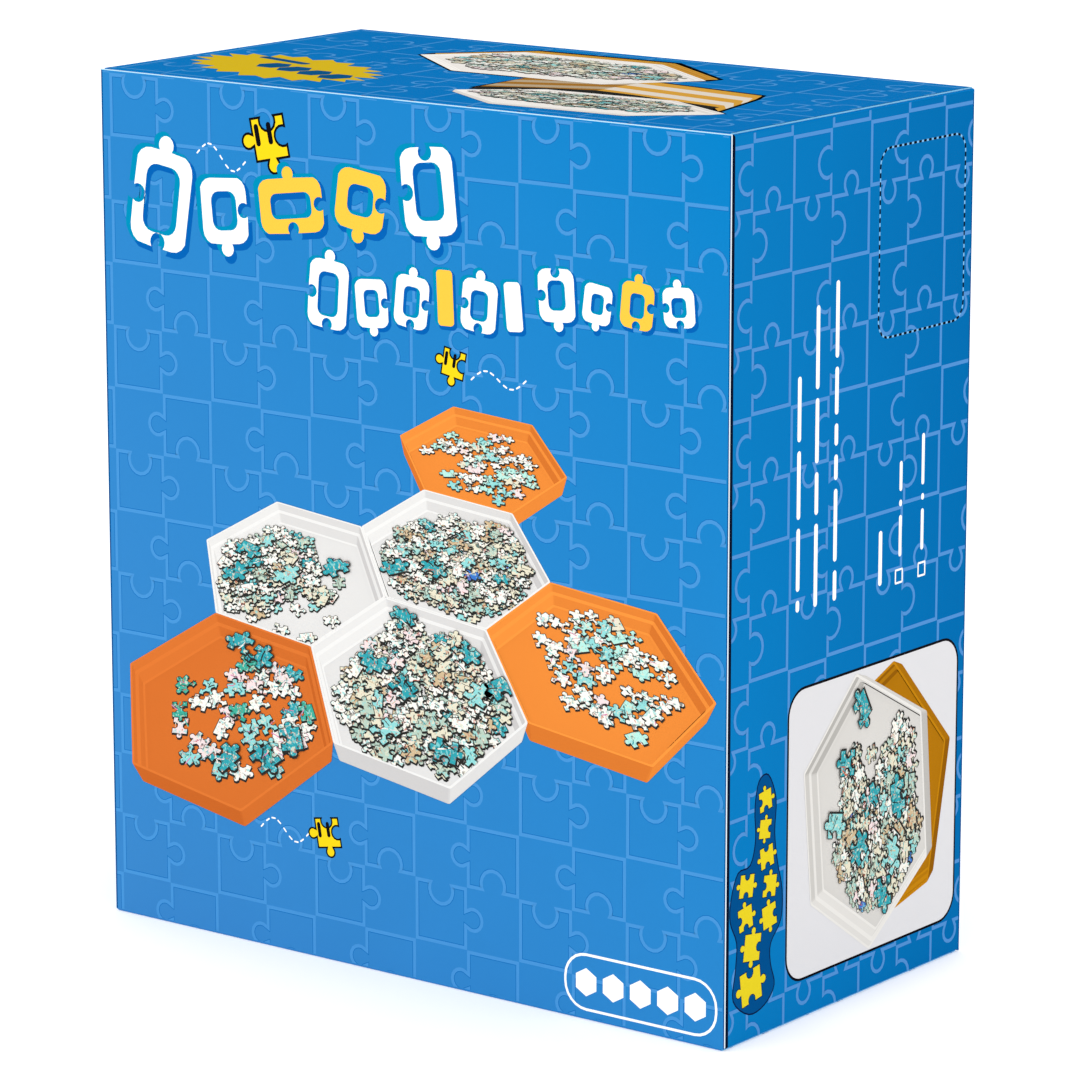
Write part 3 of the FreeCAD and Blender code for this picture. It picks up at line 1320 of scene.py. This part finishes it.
class CARTON_OT_edge_lines(PrintOperator, bpy.types.Operator):
    """Paints a highlight under the front's top edge, and lines of shade along the carton's folds, seam and
    lid
    """

    bl_idname = "carton.edge_lines"
    bl_label = "Edge Lines"

    # How wide each painted line is: the top one a highlight, the others shade
    TOP_HIGHLIGHT = 0.25
    SEAM_SHADE_LINE = 0.35
    BACK_SHADE = 0.4
    LID_SHADE = 0.3

    LEFT_SHADE_START = 0.6  # where the painted shade down the front's left fold starts, of the fold's radius
    LEFT_SHADE_PAST = 0.2  # how far it reaches past the fold
    BACK_DROP = 1.8  # from the top down to the end of the painted shade by the back fold
    LID_START = 2.0  # from the front to the start of the painted shade along the lid's edge

    def execute(self, context):
        settings = context.scene.carton_print
        dark = setting_ink("Ink edge dark", settings.painted_edge_shade)
        light, deep = ink("edge_light"), ink("deep_blue")
        fold = FOLD_RADIUS
        high = HEIGHT - EDGE_DROP
        under = high - self.TOP_HIGHLIGHT
        seam = WIDTH - SEAM_HIGHLIGHT
        back = DEPTH - fold
        lid_end = WIDTH - (fold + LID_SETBACK)
        # A painted highlight under the front's top edge, then painted shade down the front's left fold,
        # beside the seam, by the right panel's back fold and along the lid's edge
        strips = (
            ("front", light, (0, under, seam, high)),
            ("front", deep, (fold * self.LEFT_SHADE_START, fold, fold + self.LEFT_SHADE_PAST, under)),
            ("front", deep, (seam - self.SEAM_SHADE_LINE, fold, seam, under)),
            ("right", deep, (back - self.BACK_SHADE, fold, back, HEIGHT - self.BACK_DROP)),
            ("top", dark, (lid_end - self.LID_SHADE, self.LID_START, lid_end, back)),
        )
        for number, (panel_name, edge_ink, corners) in enumerate(strips):
            strip = flat_field(f"{panel_name}_edge_line_{number}", rectangle(*corners), edge_ink)
            lay_on(raise_to(strip, PANEL_LAYER), PANELS[panel_name])
        return {"FINISHED"}


class CARTON_OT_front_picture(PrintOperator, bpy.types.Operator):
    """Prints the honeycomb of sorting trays on the front"""

    bl_idname = "carton.front_picture"
    bl_label = "Front Picture"

    def execute(self, context):
        settings = context.scene.tray_picture
        radius = settings.tray_radius / MM
        trays = {
            name: Tray(plastic, *honeycomb(radius, column, row), 0, 0, order)
            for name, (plastic, column, row, order) in FRONT_TRAYS.items()
        }
        heaps = []
        for number, (name, count, gap, chain, mix, marks, piece_share) in enumerate(FRONT_PILES):
            seed = settings.seed + HEAP_SEEDS * number
            heaps.append(Heap(
                trays[name], count, HEAP_OUTLINES[name], gap, chain, mix, marks, seed,
                HEAP_SINGLES.get(name, ()), HEAP_ACCENTS.get(name, ()), piece_share,
            ))
        plastics = plastic_inks({
            "white": ("Ink white tray", settings.white_lit, settings.white_shade),
            "orange": ("Ink orange tray", settings.orange_lit, settings.orange_shade),
            "deep": ("Ink deep orange tray", settings.deep_lit, settings.deep_shade),
        })
        print_trays("front", PANELS["front"], FRONT_VIEW, trays.values(), heaps, settings, plastics)
        return {"FINISHED"}


RowPiece = namedtuple("RowPiece", "across up width height turn colour kind window")

# The two rows of plain pieces on the front. A window is the width of the band that is left
# round a piece's opening.
UPPER_ROW = (
    RowPiece(24, 227, 22.5, 30, -8, "white", 0, 4.5),
    RowPiece(49, 226, 18, 20, 6, "white", 1, 4.1),
    RowPiece(75, 230, 24.5, 16.5, 8, "amber", 2, 4.4),
    RowPiece(101.5, 234, 18.5, 18, -6, "amber", 1, 4.4),
    RowPiece(127, 239, 19.5, 26, 7, "white", 3, 4.5),
)
LOWER_ROW = (
    RowPiece(89, 205, 15, 20.5, -4, "white", 0, 3.6),
    RowPiece(105.5, 204, 12, 14.5, 6, "white", 1, 3.2),
    RowPiece(120.5, 206, 12.5, 15.5, -5, "white", 2, 3.2),
    RowPiece(133, 208.5, 6, 16.5, 3, "amber", 4, None),
    RowPiece(145.5, 207.5, 13, 15.5, -4, "white", 0, 3.3),
    RowPiece(158, 208.5, 6, 14.5, 6, "white", 4, None),
    RowPiece(173.5, 213.5, 13, 15.5, 5, "white", 3, 3.4),
    RowPiece(188, 212.5, 10, 11.5, -6, "white", 1, 2.8),
    RowPiece(202, 213.5, 11.5, 13.5, -4, "amber", 2, 3.2),
    RowPiece(216.5, 214.5, 11, 11.5, 6, "white", 0, 2.9),
)
ROW_KINDS = (
    ("hole", "flat", "knob", "hole"),
    ("knob", "hole", "flat", "flat"),
    ("hole", "hole", "knob", "flat"),
    ("knob", "flat", "hole", "hole"),
    ("flat", "flat", "flat", "flat"),
)
ROW_KNOB = 0.13  # radius of a knob, of a piece's short side
ROW_CORNER = 0.24  # radius of a corner, of a piece's short side
WINDOW_CORNER = 0.6  # the same, of a window's short half

# What lies under each piece, lowest first, and the piece itself in its own colour: ink,
# shift across and up, and how much larger it is all round, of its row's offset
ROW_LAYERS = (
    ("shadow_blue", 0.45, -0.55, 0.3),
    ("teal", -0.9, 0.45, 0),
    ("teal", -0.45, 0.25, 0.25),
    (None, 0, 0, 0),
)
ROWS = ((UPPER_ROW, 2.2), (LOWER_ROW, 1.4))  # each with its offset, in millimetres


class CARTON_OT_piece_rows(PrintOperator, bpy.types.Operator):
    """Prints two rows of plain jigsaw pieces high on the front"""

    bl_idname = "carton.piece_rows"
    bl_label = "Piece Rows"

    def execute(self, context):
        parts = []
        for row, offset in ROWS:
            for piece in row:
                parts += self.row_piece(piece, offset)
        lay_on(join("front_piece_rows", parts), PANELS["front"])
        return {"FINISHED"}

    def row_piece(self, piece, offset):
        """One piece of a row: a dark shadow, a teal side and the piece itself."""
        parts = []
        for order, (ink_name, *shares) in enumerate(ROW_LAYERS):
            shift_across, shift_up, extra = (share * offset for share in shares)
            field = self.piece_field(piece, extra, ink(ink_name or piece.colour))
            field.data.transform(place(piece.across + shift_across, piece.up + shift_up, piece.turn))
            parts.append(raise_to(field, PANEL_LAYER + order))
        return parts

    def piece_field(self, piece, extra, fill):
        """The piece about its own middle, grown by extra all round."""
        width, height = piece.width + 2 * extra, piece.height + 2 * extra
        corner = ROW_CORNER * min(width, height)
        outline = jigsaw_outline(width, height, *ROW_KINDS[piece.kind], knob=ROW_KNOB, corner=corner)
        if piece.window is None:
            return flat_field("row_piece", outline, fill)
        half_width = piece.width / 2 - piece.window - extra
        half_height = piece.height / 2 - piece.window - extra
        corner = WINDOW_CORNER * min(half_width, half_height)
        window = rounded_rectangle(
            -half_width, -half_height, half_width, half_height, corner, corner_steps=4
        )
        return windowed_field("row_piece", outline, window, fill)


# A trail runs as one wave from its start to its end, and its swing is how far it strays
Motif = namedtuple("Motif", "across up size turn trail_start trail_end swing")

MOTIFS = (
    Motif(67, 249.5, 13.5, 12, (39, 243), (57, 241), 3.2),
    Motif(136, 189.5, 8.6, -10, (143, 186), (162, 187), 2.4),
    Motif(87, 40, 9.6, 10, (61, 38), (79, 38), 3.0),
)


class CARTON_OT_motifs(PrintOperator, bpy.types.Operator):
    """Prints three small yellow pieces, each with a dashed trail"""

    bl_idname = "carton.motifs"
    bl_label = "Motifs and Trails"

    # Of the piece's size
    KEYLINE = 0.055
    BANDS = (-0.34, 0.02)  # where the bands' middles lie, across the piece
    BAND_UP = 0.1
    BAND_LENGTH = 0.5
    BAND_WIDTH = 0.13

    # In millimetres
    DASH_LENGTH = 1.7
    DASH_WIDTH = 0.5

    def execute(self, context):
        parts = []
        for motif in MOTIFS:
            parts += self.yellow_piece(motif) + self.trail(motif)
        lay_on(join("front_motifs", parts), PANELS["front"])
        return {"FINISHED"}

    def yellow_piece(self, motif):
        """A yellow jigsaw piece with a dark outline and two dark bands."""
        size = motif.size
        outline = jigsaw_outline(size, size, "knob", "hole", "hole", "knob")
        where = place(motif.across, motif.up, motif.turn)
        field = bordered_field(
            "motif_piece", outline, ink("keyline"), self.KEYLINE * size, ink("yellow")
        )
        field.data.transform(where)
        parts = [raise_to(field, PANEL_LAYER)]
        for share in self.BANDS:
            band = bar(
                share * size, self.BAND_UP * size, self.BAND_LENGTH * size, self.BAND_WIDTH * size, 90
            )
            parts.append(printed("motif_band", band, "keyline", PANEL_LAYER + 1, where))
        return parts

    def trail(self, motif, dashes=9):
        """White dashes along one wave from the trail's start to its end."""
        (start_across, start_up), (end_across, end_up) = motif.trail_start, motif.trail_end
        parts = []
        for dash in range(dashes):
            share = dash / (dashes - 1)
            wave = math.sin(2 * math.pi * share)
            across = start_across + (end_across - start_across) * share
            up = start_up + (end_up - start_up) * share + motif.swing * wave
            slope = 2 * math.pi * motif.swing * math.cos(2 * math.pi * share)
            slope = math.degrees(math.atan2(slope + end_up - start_up, end_across - start_across))
            dash_outline = bar(across, up, self.DASH_LENGTH, self.DASH_WIDTH, slope)
            parts.append(printed("trail_dash", dash_outline, "white"))
        return parts


class CARTON_OT_corner_frame(PrintOperator, bpy.types.Operator):
    """Prints a plain frame with five hexagons low on the front"""

    bl_idname = "carton.corner_frame"
    bl_label = "Corner Frame"

    CORNERS = (176.5, 2.8, 231.5, 20.3)
    CORNER_RADIUS = 8.0
    LINE = 0.8
    HEXAGONS = (184.5, 194.3, 204.1, 213.9, 223.7)  # their middles, across
    HEXAGONS_UP = 11.5
    HEXAGON_RADIUS = 4.3
    HEXAGON_TURN = 30

    def execute(self, context):
        outline = rounded_rectangle(*self.CORNERS, self.CORNER_RADIUS)
        parts = [printed_ring("frame_line", outline, self.LINE, "white")]
        for across in self.HEXAGONS:
            outline = hexagon(self.HEXAGON_RADIUS, across, self.HEXAGONS_UP, self.HEXAGON_TURN)
            parts.append(printed("frame_hexagon", outline, "white"))
        lay_on(join("front_corner_frame", parts), PANELS["front"])
        return {"FINISHED"}


Line = namedtuple("Line", "across start bars thickness")

# Plain bars that run up the side panel: where each line starts, and how long its bars are
SIDE_LINES = (
    Line(34.5, 123, (3.5, 18.5, 20, 19), 1.8),
    Line(43.5, 123, (24.5, 12.5, 19, 24.3), 1.8),
    Line(53.3, 123, (9, 21.5, 7.5, 6.5, 14, 22.5), 1.8),
    Line(77, 123, (16.5,), 1.8),
    Line(87.4, 130, (12.5, 2, 9), 1.5),
    Line(99.1, 130, (12.5, 2, 15.5), 1.5),
)
BAR_GAP = 2.6


class CARTON_OT_side_notes(PrintOperator, bpy.types.Operator):
    """Prints plain bars, two tick boxes and a dotted frame on the right panel"""

    bl_idname = "carton.side_notes"
    bl_label = "Side Notes"

    TICK_BOXES = (87.0, 99.1)  # their middles, across
    TICK_HALF_WIDTH = 2.1
    TICK_UP = (121.9, 126.4)
    TICK_CORNER = 0.4
    TICK_LINE = 0.6

    DOTTED_CORNERS = (74.0, 196.3, 119.5, 252.5)
    DOTTED_RADIUS = 5.5
    DOTTED_LINE = 0.6
    DASH_PITCH = 2.6
    DASH_LENGTH = 1.6
    DASH_EXTRA = 0.1  # how much wider a dash is than its line

    def execute(self, context):
        parts = []
        for line in SIDE_LINES:
            start = line.start
            for length in line.bars:
                outline = bar(line.across, start + length / 2, length, line.thickness, 90)
                parts.append(printed("note_bar", outline, "white"))
                start += length + BAR_GAP
        low, high = self.TICK_UP
        for across in self.TICK_BOXES:
            left, right = across - self.TICK_HALF_WIDTH, across + self.TICK_HALF_WIDTH
            outline = rounded_rectangle(left, low, right, high, self.TICK_CORNER, corner_steps=2)
            parts.append(printed_ring("tick_box", outline, self.TICK_LINE, "white"))
        parts += self.dotted_frame()
        lay_on(join("right_notes", parts), PANELS["right"])
        return {"FINISHED"}

    def dotted_frame(self):
        """A thin light frame with dark dashes along it."""
        line = self.DOTTED_LINE
        outline = rounded_rectangle(*self.DOTTED_CORNERS, self.DOTTED_RADIUS)
        parts = [printed_ring("dotted_frame", outline, line, "frame_light")]
        middle = inset_rectangle(self.DOTTED_CORNERS, self.DOTTED_RADIUS, line / 2)
        for across, up, angle in points_along(middle, self.DASH_PITCH):
            outline = bar(across, up, self.DASH_LENGTH, line + self.DASH_EXTRA, angle)
            parts.append(printed("frame_dash", outline, "keyline", PANEL_LAYER + 1))
        return parts


def points_along(outline, pitch):
    """Points at about that pitch round a closed outline, each with its direction."""
    found = []
    spare = 0.0
    for (ax, ay), (bx, by) in zip(outline, outline[1:] + outline[:1]):
        length = math.dist((ax, ay), (bx, by))
        angle = math.degrees(math.atan2(by - ay, bx - ax))
        travelled = spare
        while travelled < length:
            share = travelled / length
            found.append((ax + (bx - ax) * share, ay + (by - ay) * share, angle))
            travelled += pitch
        spare = travelled - length
    return found


SIDE_VIEW = PictureView(
    turn=-6.3,
    tilt=55.6,
    distance=997,
    zoom=327,
    aim=(0, 0),
    centre=(56.4, -74.2),
    roll=-10.8,
    quarter_turn=True,
)


class CARTON_OT_side_picture(PrintOperator, bpy.types.Operator):
    """Prints the pale picture panel with two trays on the right panel"""

    bl_idname = "carton.side_picture"
    bl_label = "Side Picture"

    CORNERS = (30.2, 11.8, 120.2, 100.4)
    CORNER_RADIUS = 8.5
    KEYLINE = 0.8

    LOW_TRAY = Tray("amber", across=1.3, back=-2.2, turn=-18.2, raise_by=-42.5, order=0)
    HIGH_TRAY = Tray("white", across=0, back=0, turn=0, raise_by=0, order=1)
    PLASTICS = {
        "white": ("Ink grey tray", srgb(224, 221, 216), srgb(156, 153, 148)),
        "amber": ("Ink ochre tray", srgb(186, 124, 12), srgb(122, 72, 4)),
    }

    HEAP_OUTLINE = (
        (70, -64), (58, -80), (-22, -84), (-46, -86), (-60, -68), (-76, -50), (-88, -34), (-90, 18),
        (-78, 38), (-58, 44), (-38, 62), (-24, 68), (-14, 48), (14, 50), (40, 43), (64, 22), (48, 10),
        (22, 6), (16, -20), (38, -30), (52, -46),
    )
    HEAP_SINGLES = ((50, -7),)
    HEAP_ACCENTS = ((96, -4), (1, 58), (10, -10), (-51, -44), (-80, -30), (54, 28), (-30, 14), (1, -62))
    SEED_SHIFT = 20  # so that no two heaps lie alike

    def execute(self, context):
        settings = context.scene.tray_picture
        panel = PANELS["right"]
        parts = []
        for order, (ink_name, inset) in enumerate((("keyline", 0), ("panel_grey", self.KEYLINE))):
            outline = inset_rectangle(self.CORNERS, self.CORNER_RADIUS, inset, corner_steps=8)
            parts.append(printed("picture_panel", outline, ink_name, PANEL_LAYER + order))
        lay_on(join("right_picture_panel", parts), panel)
        heap = Heap(
            tray=self.HIGH_TRAY,
            count=240,
            outline=self.HEAP_OUTLINE,
            gap=0.26,
            chain=0.0,
            mix=SIDE_TRAY_MIX,
            marks=MARK_MIX,
            seed=settings.seed + self.SEED_SHIFT,
            singles=self.HEAP_SINGLES,
            accents=self.HEAP_ACCENTS,
            piece_share=0.78,
        )
        trays = (self.LOW_TRAY, self.HIGH_TRAY)
        print_trays("right", panel, SIDE_VIEW, trays, (heap,), settings, plastic_inks(self.PLASTICS))
        return {"FINISHED"}


class CARTON_OT_spine_label(PrintOperator, bpy.types.Operator):
    """Prints the dark label with yellow pieces that runs up beside the seam"""

    bl_idname = "carton.spine_label"
    bl_label = "Spine Label"

    LABEL_KEYLINE = 0.45
    PIECE_KEYLINE = 0.25
    PIECE_BODY = 0.8  # of a piece's size, which counts its knobs
    PIECE_KNOB = 0.15
    PIECE_TILT = 8

    LABEL = (
        (12, 8), (20, 9), (25, 14), (23, 21), (23, 27), (28, 33), (28.5, 42), (26, 51), (24.5, 60),
        (25, 70), (21, 78), (16, 77), (14, 69), (14.5, 60), (12, 53), (6, 52), (2.6, 45), (2.2, 38),
        (5.5, 31), (5, 23), (4, 14),
    )
    # Each piece's place and size, in two columns
    PIECES = (
        (13, 16.5, 13), (13.5, 28, 10.5), (10, 37.5, 9), (10.5, 47, 9), (22, 35.5, 9), (22, 44.5, 8.5),
        (20.5, 53.5, 8.5), (19.5, 62, 7.5), (19.5, 70.5, 8),
    )

    def execute(self, context):
        navy = ink("navy")
        outline = smooth_outline(self.LABEL)
        label = bordered_field("label", outline, navy, self.LABEL_KEYLINE, ink("deep_blue"))
        parts = [raise_to(label, PANEL_LAYER)]
        for number, (across, up, size) in enumerate(self.PIECES):
            body = size * self.PIECE_BODY
            kind = PIECE_KINDS[number % 3]
            outline = jigsaw_outline(body, body, *kind, knob_steps=8, knob=self.PIECE_KNOB)
            field = bordered_field("label_piece", outline, navy, self.PIECE_KEYLINE, ink("label_yellow"))
            field.data.transform(place(across, up, 90 + self.PIECE_TILT * (-1) ** number))
            parts.append(raise_to(field, PANEL_LAYER + 1))
        lay_on(join("right_spine_label", parts), PANELS["right"])
        return {"FINISHED"}


TOP_VIEW = PictureView(
    turn=7.9,
    tilt=31.1,
    distance=3000,
    zoom=1242,
    aim=(0, 0),
    centre=(110.5, 84.2),
    roll=2.6,
    height_share=0.1,
)
LOW_TOP_VIEW = PictureView(
    turn=3.5,
    tilt=23.1,
    distance=3000,
    zoom=1083,
    aim=(0, 0),
    centre=(162.9, 25.1),
    roll=-2.0,
    height_share=0.45,
)


class CARTON_OT_top_print(PrintOperator, bpy.types.Operator):
    """Prints the burst, the stack and its trays on the lid"""

    bl_idname = "carton.top_print"
    bl_label = "Top Print"

    # A star of short points on a turned ellipse: its middle, half sizes and turn, how many
    # points it has, and how far out its two kinds of notches lie, of the ellipse
    BURST_MIDDLE = (44, 35)
    BURST_SIZE = (40, 22)
    BURST_TURN = -14
    BURST_POINTS = 22
    BURST_NOTCHES = (0.78, 0.86)

    BURST_HEXAGONS = (38, 48.5, 59, 69.5)  # their middles, across
    BURST_HEXAGON_RADIUS = 5.8
    BURST_HEXAGONS_UP = 36.5
    BURST_HEXAGON_STEP = 3.0  # how much lower each is than the one before
    BURST_BAR = (33, 47.5, 24, 3.6)

    NEAR_TRAY = Tray("white", across=0, back=0, turn=0, raise_by=0, order=1)
    FAR_TRAY = Tray("amber", across=6, back=23, turn=0, raise_by=0, order=0)
    PLASTICS = {
        "white": ("Ink lid tray", srgb(240, 236, 230), srgb(206, 200, 194)),
        "amber": ("Ink lid amber tray", srgb(204, 152, 56), srgb(178, 118, 36)),
    }
    HEAP_OUTLINE = (
        (-78, 72), (-25, 82), (56, 74), (106, 5), (92, -30), (35, -70), (-50, -70), (-90, -20),
        (-84, 48),
    )
    LOW_HEAP_OUTLINE = (
        (-106, 16), (-76, 82), (0, 98), (68, 84), (100, 18), (66, -48), (0, -56), (-70, -46),
    )
    # What both heaps share, and how each one's seed differs, so that no two heaps lie alike
    HEAP_LOOKS = {"chain": 0.0, "mix": WHITE_TRAY_MIX, "marks": MARK_MIX, "piece_share": 0.8}
    SEED_SHIFTS = (30, 32)

    # The stack's three faces, each from its top left corner round to its bottom left corner
    STACK_LEFT = ((116.6, 60.0), (150.2, 75.5), (150.2, 48.0), (117.4, 34.0))
    STACK_RIGHT = ((150.2, 75.5), (195.6, 69.5), (199.7, 40.0), (150.2, 48.0))
    STACK_END = ((195.6, 69.5), (198.5, 62.0), (204.6, 35.0), (199.7, 40.0))
    STACK_SHADOW = (
        (117.4, 36.5), (133, 44.5), (150.2, 50), (165, 48.5), (182, 45), (200, 42), (200, 37),
        (150, 40), (118, 30),
    )

    # The dark line round the left tray and the stack
    KEYLINE = (
        (165.8, 92.2), (133.0, 115.9), (80.4, 114.7), (57.4, 89.2), (56.1, 83.5), (88.2, 58.7),
        (116.2, 59.2), (116.0, 33.0), (160.0, 30.0), (210.2, 31.4), (206.0, 34.8), (199.8, 62.4),
        (196.2, 70.9), (154.6, 76.4), (164.6, 86.2),
    )

    def execute(self, context):
        panel = PANELS["top"]
        lay_on(join("top_burst", self.burst()), panel)
        lay_on(join("top_stack", self.stack()), panel)
        self.trays(context.scene.tray_picture, panel)
        return {"FINISHED"}

    def burst(self):
        """The burst, with a bar and four hexagons on it."""
        above = PANEL_LAYER + 1
        parts = [printed("burst", self.burst_outline(), "burst_mustard")]
        for number, across in enumerate(self.BURST_HEXAGONS):
            up = self.BURST_HEXAGONS_UP - self.BURST_HEXAGON_STEP * number
            outline = hexagon(self.BURST_HEXAGON_RADIUS, across, up)
            parts.append(printed("burst_hexagon", outline, "burst_blue", above))
        parts.append(printed("burst_bar", bar(*self.BURST_BAR, self.BURST_TURN), "burst_blue", above))
        return parts

    def stack(self):
        """The stack of trays in bands, with its shadow and the dark line round it."""
        parts = self.stripes(self.STACK_LEFT, ("stack_amber_dark", "stack_white_dark"))
        parts += self.stripes(self.STACK_RIGHT, ("stack_amber", "stack_white"))
        parts += self.stripes(self.STACK_END, ("stack_amber", "stack_white"))
        parts.append(printed("stack_shadow", self.STACK_SHADOW, "pile_dark", PANEL_LAYER + 2))
        parts.append(printed("stack_keyline", self.KEYLINE, "keyline"))
        return parts

    def trays(self, settings, panel):
        """The white tray with the amber one behind it, and the white tray before the stack."""
        near, far = self.NEAR_TRAY, self.FAR_TRAY
        seed, low_seed = (settings.seed + shift for shift in self.SEED_SHIFTS)
        heap = Heap(
            tray=near, count=150, outline=self.HEAP_OUTLINE, gap=0.4, seed=seed, **self.HEAP_LOOKS
        )
        low_heap = Heap(
            tray=near, count=190, outline=self.LOW_HEAP_OUTLINE, gap=0.34, seed=low_seed, **self.HEAP_LOOKS
        )
        plastics = plastic_inks(self.PLASTICS)
        print_trays("top_left", panel, TOP_VIEW, (far, near), (heap,), settings, plastics)
        print_trays("top_right", panel, LOW_TOP_VIEW, (near,), (low_heap,), settings, plastics)

    def stripes(self, face, inks, count=5):
        """Bands of two inks in turn, from the face's top edge down to its bottom edge."""
        top_left, top_right, bottom_right, bottom_left = (Vector(corner) for corner in face)
        bands = []
        for number in range(count):
            high, low = number / count, (number + 1) / count
            outline = (
                top_left.lerp(bottom_left, low), top_right.lerp(bottom_right, low),
                top_right.lerp(bottom_right, high), top_left.lerp(bottom_left, high),
            )
            bands.append(printed("stack_band", outline, inks[number % 2], PANEL_LAYER + 1))
        return bands

    def burst_outline(self):
        half_width, half_height = self.BURST_SIZE
        steps = 2 * self.BURST_POINTS
        outline = []
        for step in range(steps):
            angle = math.radians(360 * step / steps)
            share = 1.0 if step % 2 == 0 else self.BURST_NOTCHES[step // 2 % 2]
            outline.append((half_width * share * math.cos(angle), half_height * share * math.sin(angle)))
        return moved(outline, *self.BURST_MIDDLE, self.BURST_TURN)


class CARTON_OT_stage(PrintOperator, bpy.types.Operator):
    """Lays the pale floor and sets the soft lights and the camera"""

    bl_idname = "carton.stage"
    bl_label = "Stage"

    FLOOR_DROP = 2 * INK_STEP  # so that the floor clears the lines printed on the bottom
    FLOOR_ROUGHNESS = 0.9

    # In metres
    LAMPS = {"key": (-0.5, -1.9, 1.0), "fill": (2.0, -0.4, 0.9)}
    LAMP_SIZE = 1.4
    LAMP_AIM = Vector((0, 0, 0.13))

    # The camera's place, what it looks at and its sensor, in millimetres
    EYE = Vector((933.2, -1216.2, 465.0))
    AIM = Vector((39.3, -47.3, 137.3))
    SENSOR_WIDTH = 36
    FARTHEST = 20  # how far it sees, in metres

    def execute(self, context):
        settings = context.scene.carton_stage
        self.floor(settings)
        self.room(context, settings)
        self.lights(settings)
        self.camera(context, settings)
        return {"FINISHED"}

    def floor(self, settings):
        bpy.ops.object.select_all(action="DESELECT")
        where = (0, 0, -self.FLOOR_DROP * MM)
        bpy.ops.mesh.primitive_plane_add(size=settings.floor_size, location=where)
        floor = bpy.context.object
        floor.name = "floor"
        material = bpy.data.materials.new("Pale floor")
        material.use_nodes = True
        shader = material.node_tree.nodes["Principled BSDF"]
        shader.inputs["Base Color"].default_value = (*settings.floor_colour, 1)
        shader.inputs["Roughness"].default_value = self.FLOOR_ROUGHNESS
        shader.inputs["Specular IOR Level"].default_value = 0.0
        shader.inputs["Emission Color"].default_value = (1, 1, 1, 1)
        shader.inputs["Emission Strength"].default_value = settings.floor_glow
        floor.data.materials.append(material)

    def room(self, context, settings):
        """A plain white room. Its gleam is how much of it the varnish shows, which dark flags
        would set round a real carton."""
        world = bpy.data.worlds.new("Soft room")
        world.use_nodes = True
        # Only rays that bounce off a surface find the room, so that the gleam holds for them all
        world.cycles.sampling_method = "NONE"
        nodes, links = world.node_tree.nodes, world.node_tree.links
        background = nodes["Background"]
        background.inputs["Color"].default_value = (1, 1, 1, 1)
        path = nodes.new("ShaderNodeLightPath")
        strength = nodes.new("ShaderNodeMapRange")
        strength.inputs["To Min"].default_value = settings.room_light
        strength.inputs["To Max"].default_value = settings.room_light * settings.room_gleam
        links.new(path.outputs["Is Glossy Ray"], strength.inputs["Value"])
        links.new(strength.outputs["Result"], background.inputs["Strength"])
        context.scene.world = world
        context.scene.view_settings.view_transform = "Standard"

    def lights(self, settings):
        powers = {"key": settings.key_light, "fill": settings.key_light * settings.fill_share}
        for name, where in self.LAMPS.items():
            bpy.ops.object.light_add(type="AREA", location=where)
            lamp = bpy.context.object
            lamp.name = name
            lamp.data.energy = powers[name]
            lamp.data.size = self.LAMP_SIZE
            aim = self.LAMP_AIM - lamp.location
            lamp.rotation_euler = aim.to_track_quat("-Z", "Y").to_euler()

    def camera(self, context, settings):
        bpy.ops.object.camera_add(location=self.EYE * MM)
        camera = bpy.context.object
        camera.name = "camera"
        camera.rotation_euler = (self.AIM - self.EYE).to_track_quat("-Z", "Y").to_euler()
        camera.data.lens = settings.lens
        camera.data.sensor_width = self.SENSOR_WIDTH
        camera.data.clip_end = self.FARTHEST
        context.scene.camera = camera


OPERATORS = (
    CARTON_OT_board,
    CARTON_OT_jigsaw_lines,
    CARTON_OT_edge_lines,
    CARTON_OT_front_picture,
    CARTON_OT_piece_rows,
    CARTON_OT_motifs,
    CARTON_OT_corner_frame,
    CARTON_OT_side_notes,
    CARTON_OT_side_picture,
    CARTON_OT_spine_label,
    CARTON_OT_top_print,
    CARTON_OT_stage,
)
SETTINGS = (
    (CartonPrintSettings, "carton_print"),
    (TrayPictureSettings, "tray_picture"),
    (StageSettings, "carton_stage"),
)


class CARTON_PT_print(bpy.types.Panel):
    """Lists the carton's print and stage"""

    bl_label = "Printed Carton"
    bl_idname = "CARTON_PT_print"
    bl_space_type = "VIEW_3D"
    bl_region_type = "UI"
    bl_category = "Carton"

    def draw(self, context):
        layout = self.layout
        for operator in OPERATORS:
            layout.operator(operator.bl_idname)
        for _, name in SETTINGS:
            group = getattr(context.scene, name)
            box = layout.box()
            for key in group.bl_rna.properties.keys():
                if key not in ("rna_type", "name"):
                    box.prop(group, key)


def register():
    for group, name in SETTINGS:
        bpy.utils.register_class(group)
        setattr(bpy.types.Scene, name, PointerProperty(type=group))
    for operator in OPERATORS:
        bpy.utils.register_class(operator)
    bpy.utils.register_class(CARTON_PT_print)


def unregister():
    bpy.utils.unregister_class(CARTON_PT_print)
    for operator in reversed(OPERATORS):
        bpy.utils.unregister_class(operator)
    for group, name in reversed(SETTINGS):
        delattr(bpy.types.Scene, name)
        bpy.utils.unregister_class(group)


def main():
    register()
    for operator in OPERATORS:
        group, name = operator.bl_idname.split(".")
        getattr(getattr(bpy.ops, group), name)()


if __name__ == "__main__":
    main()
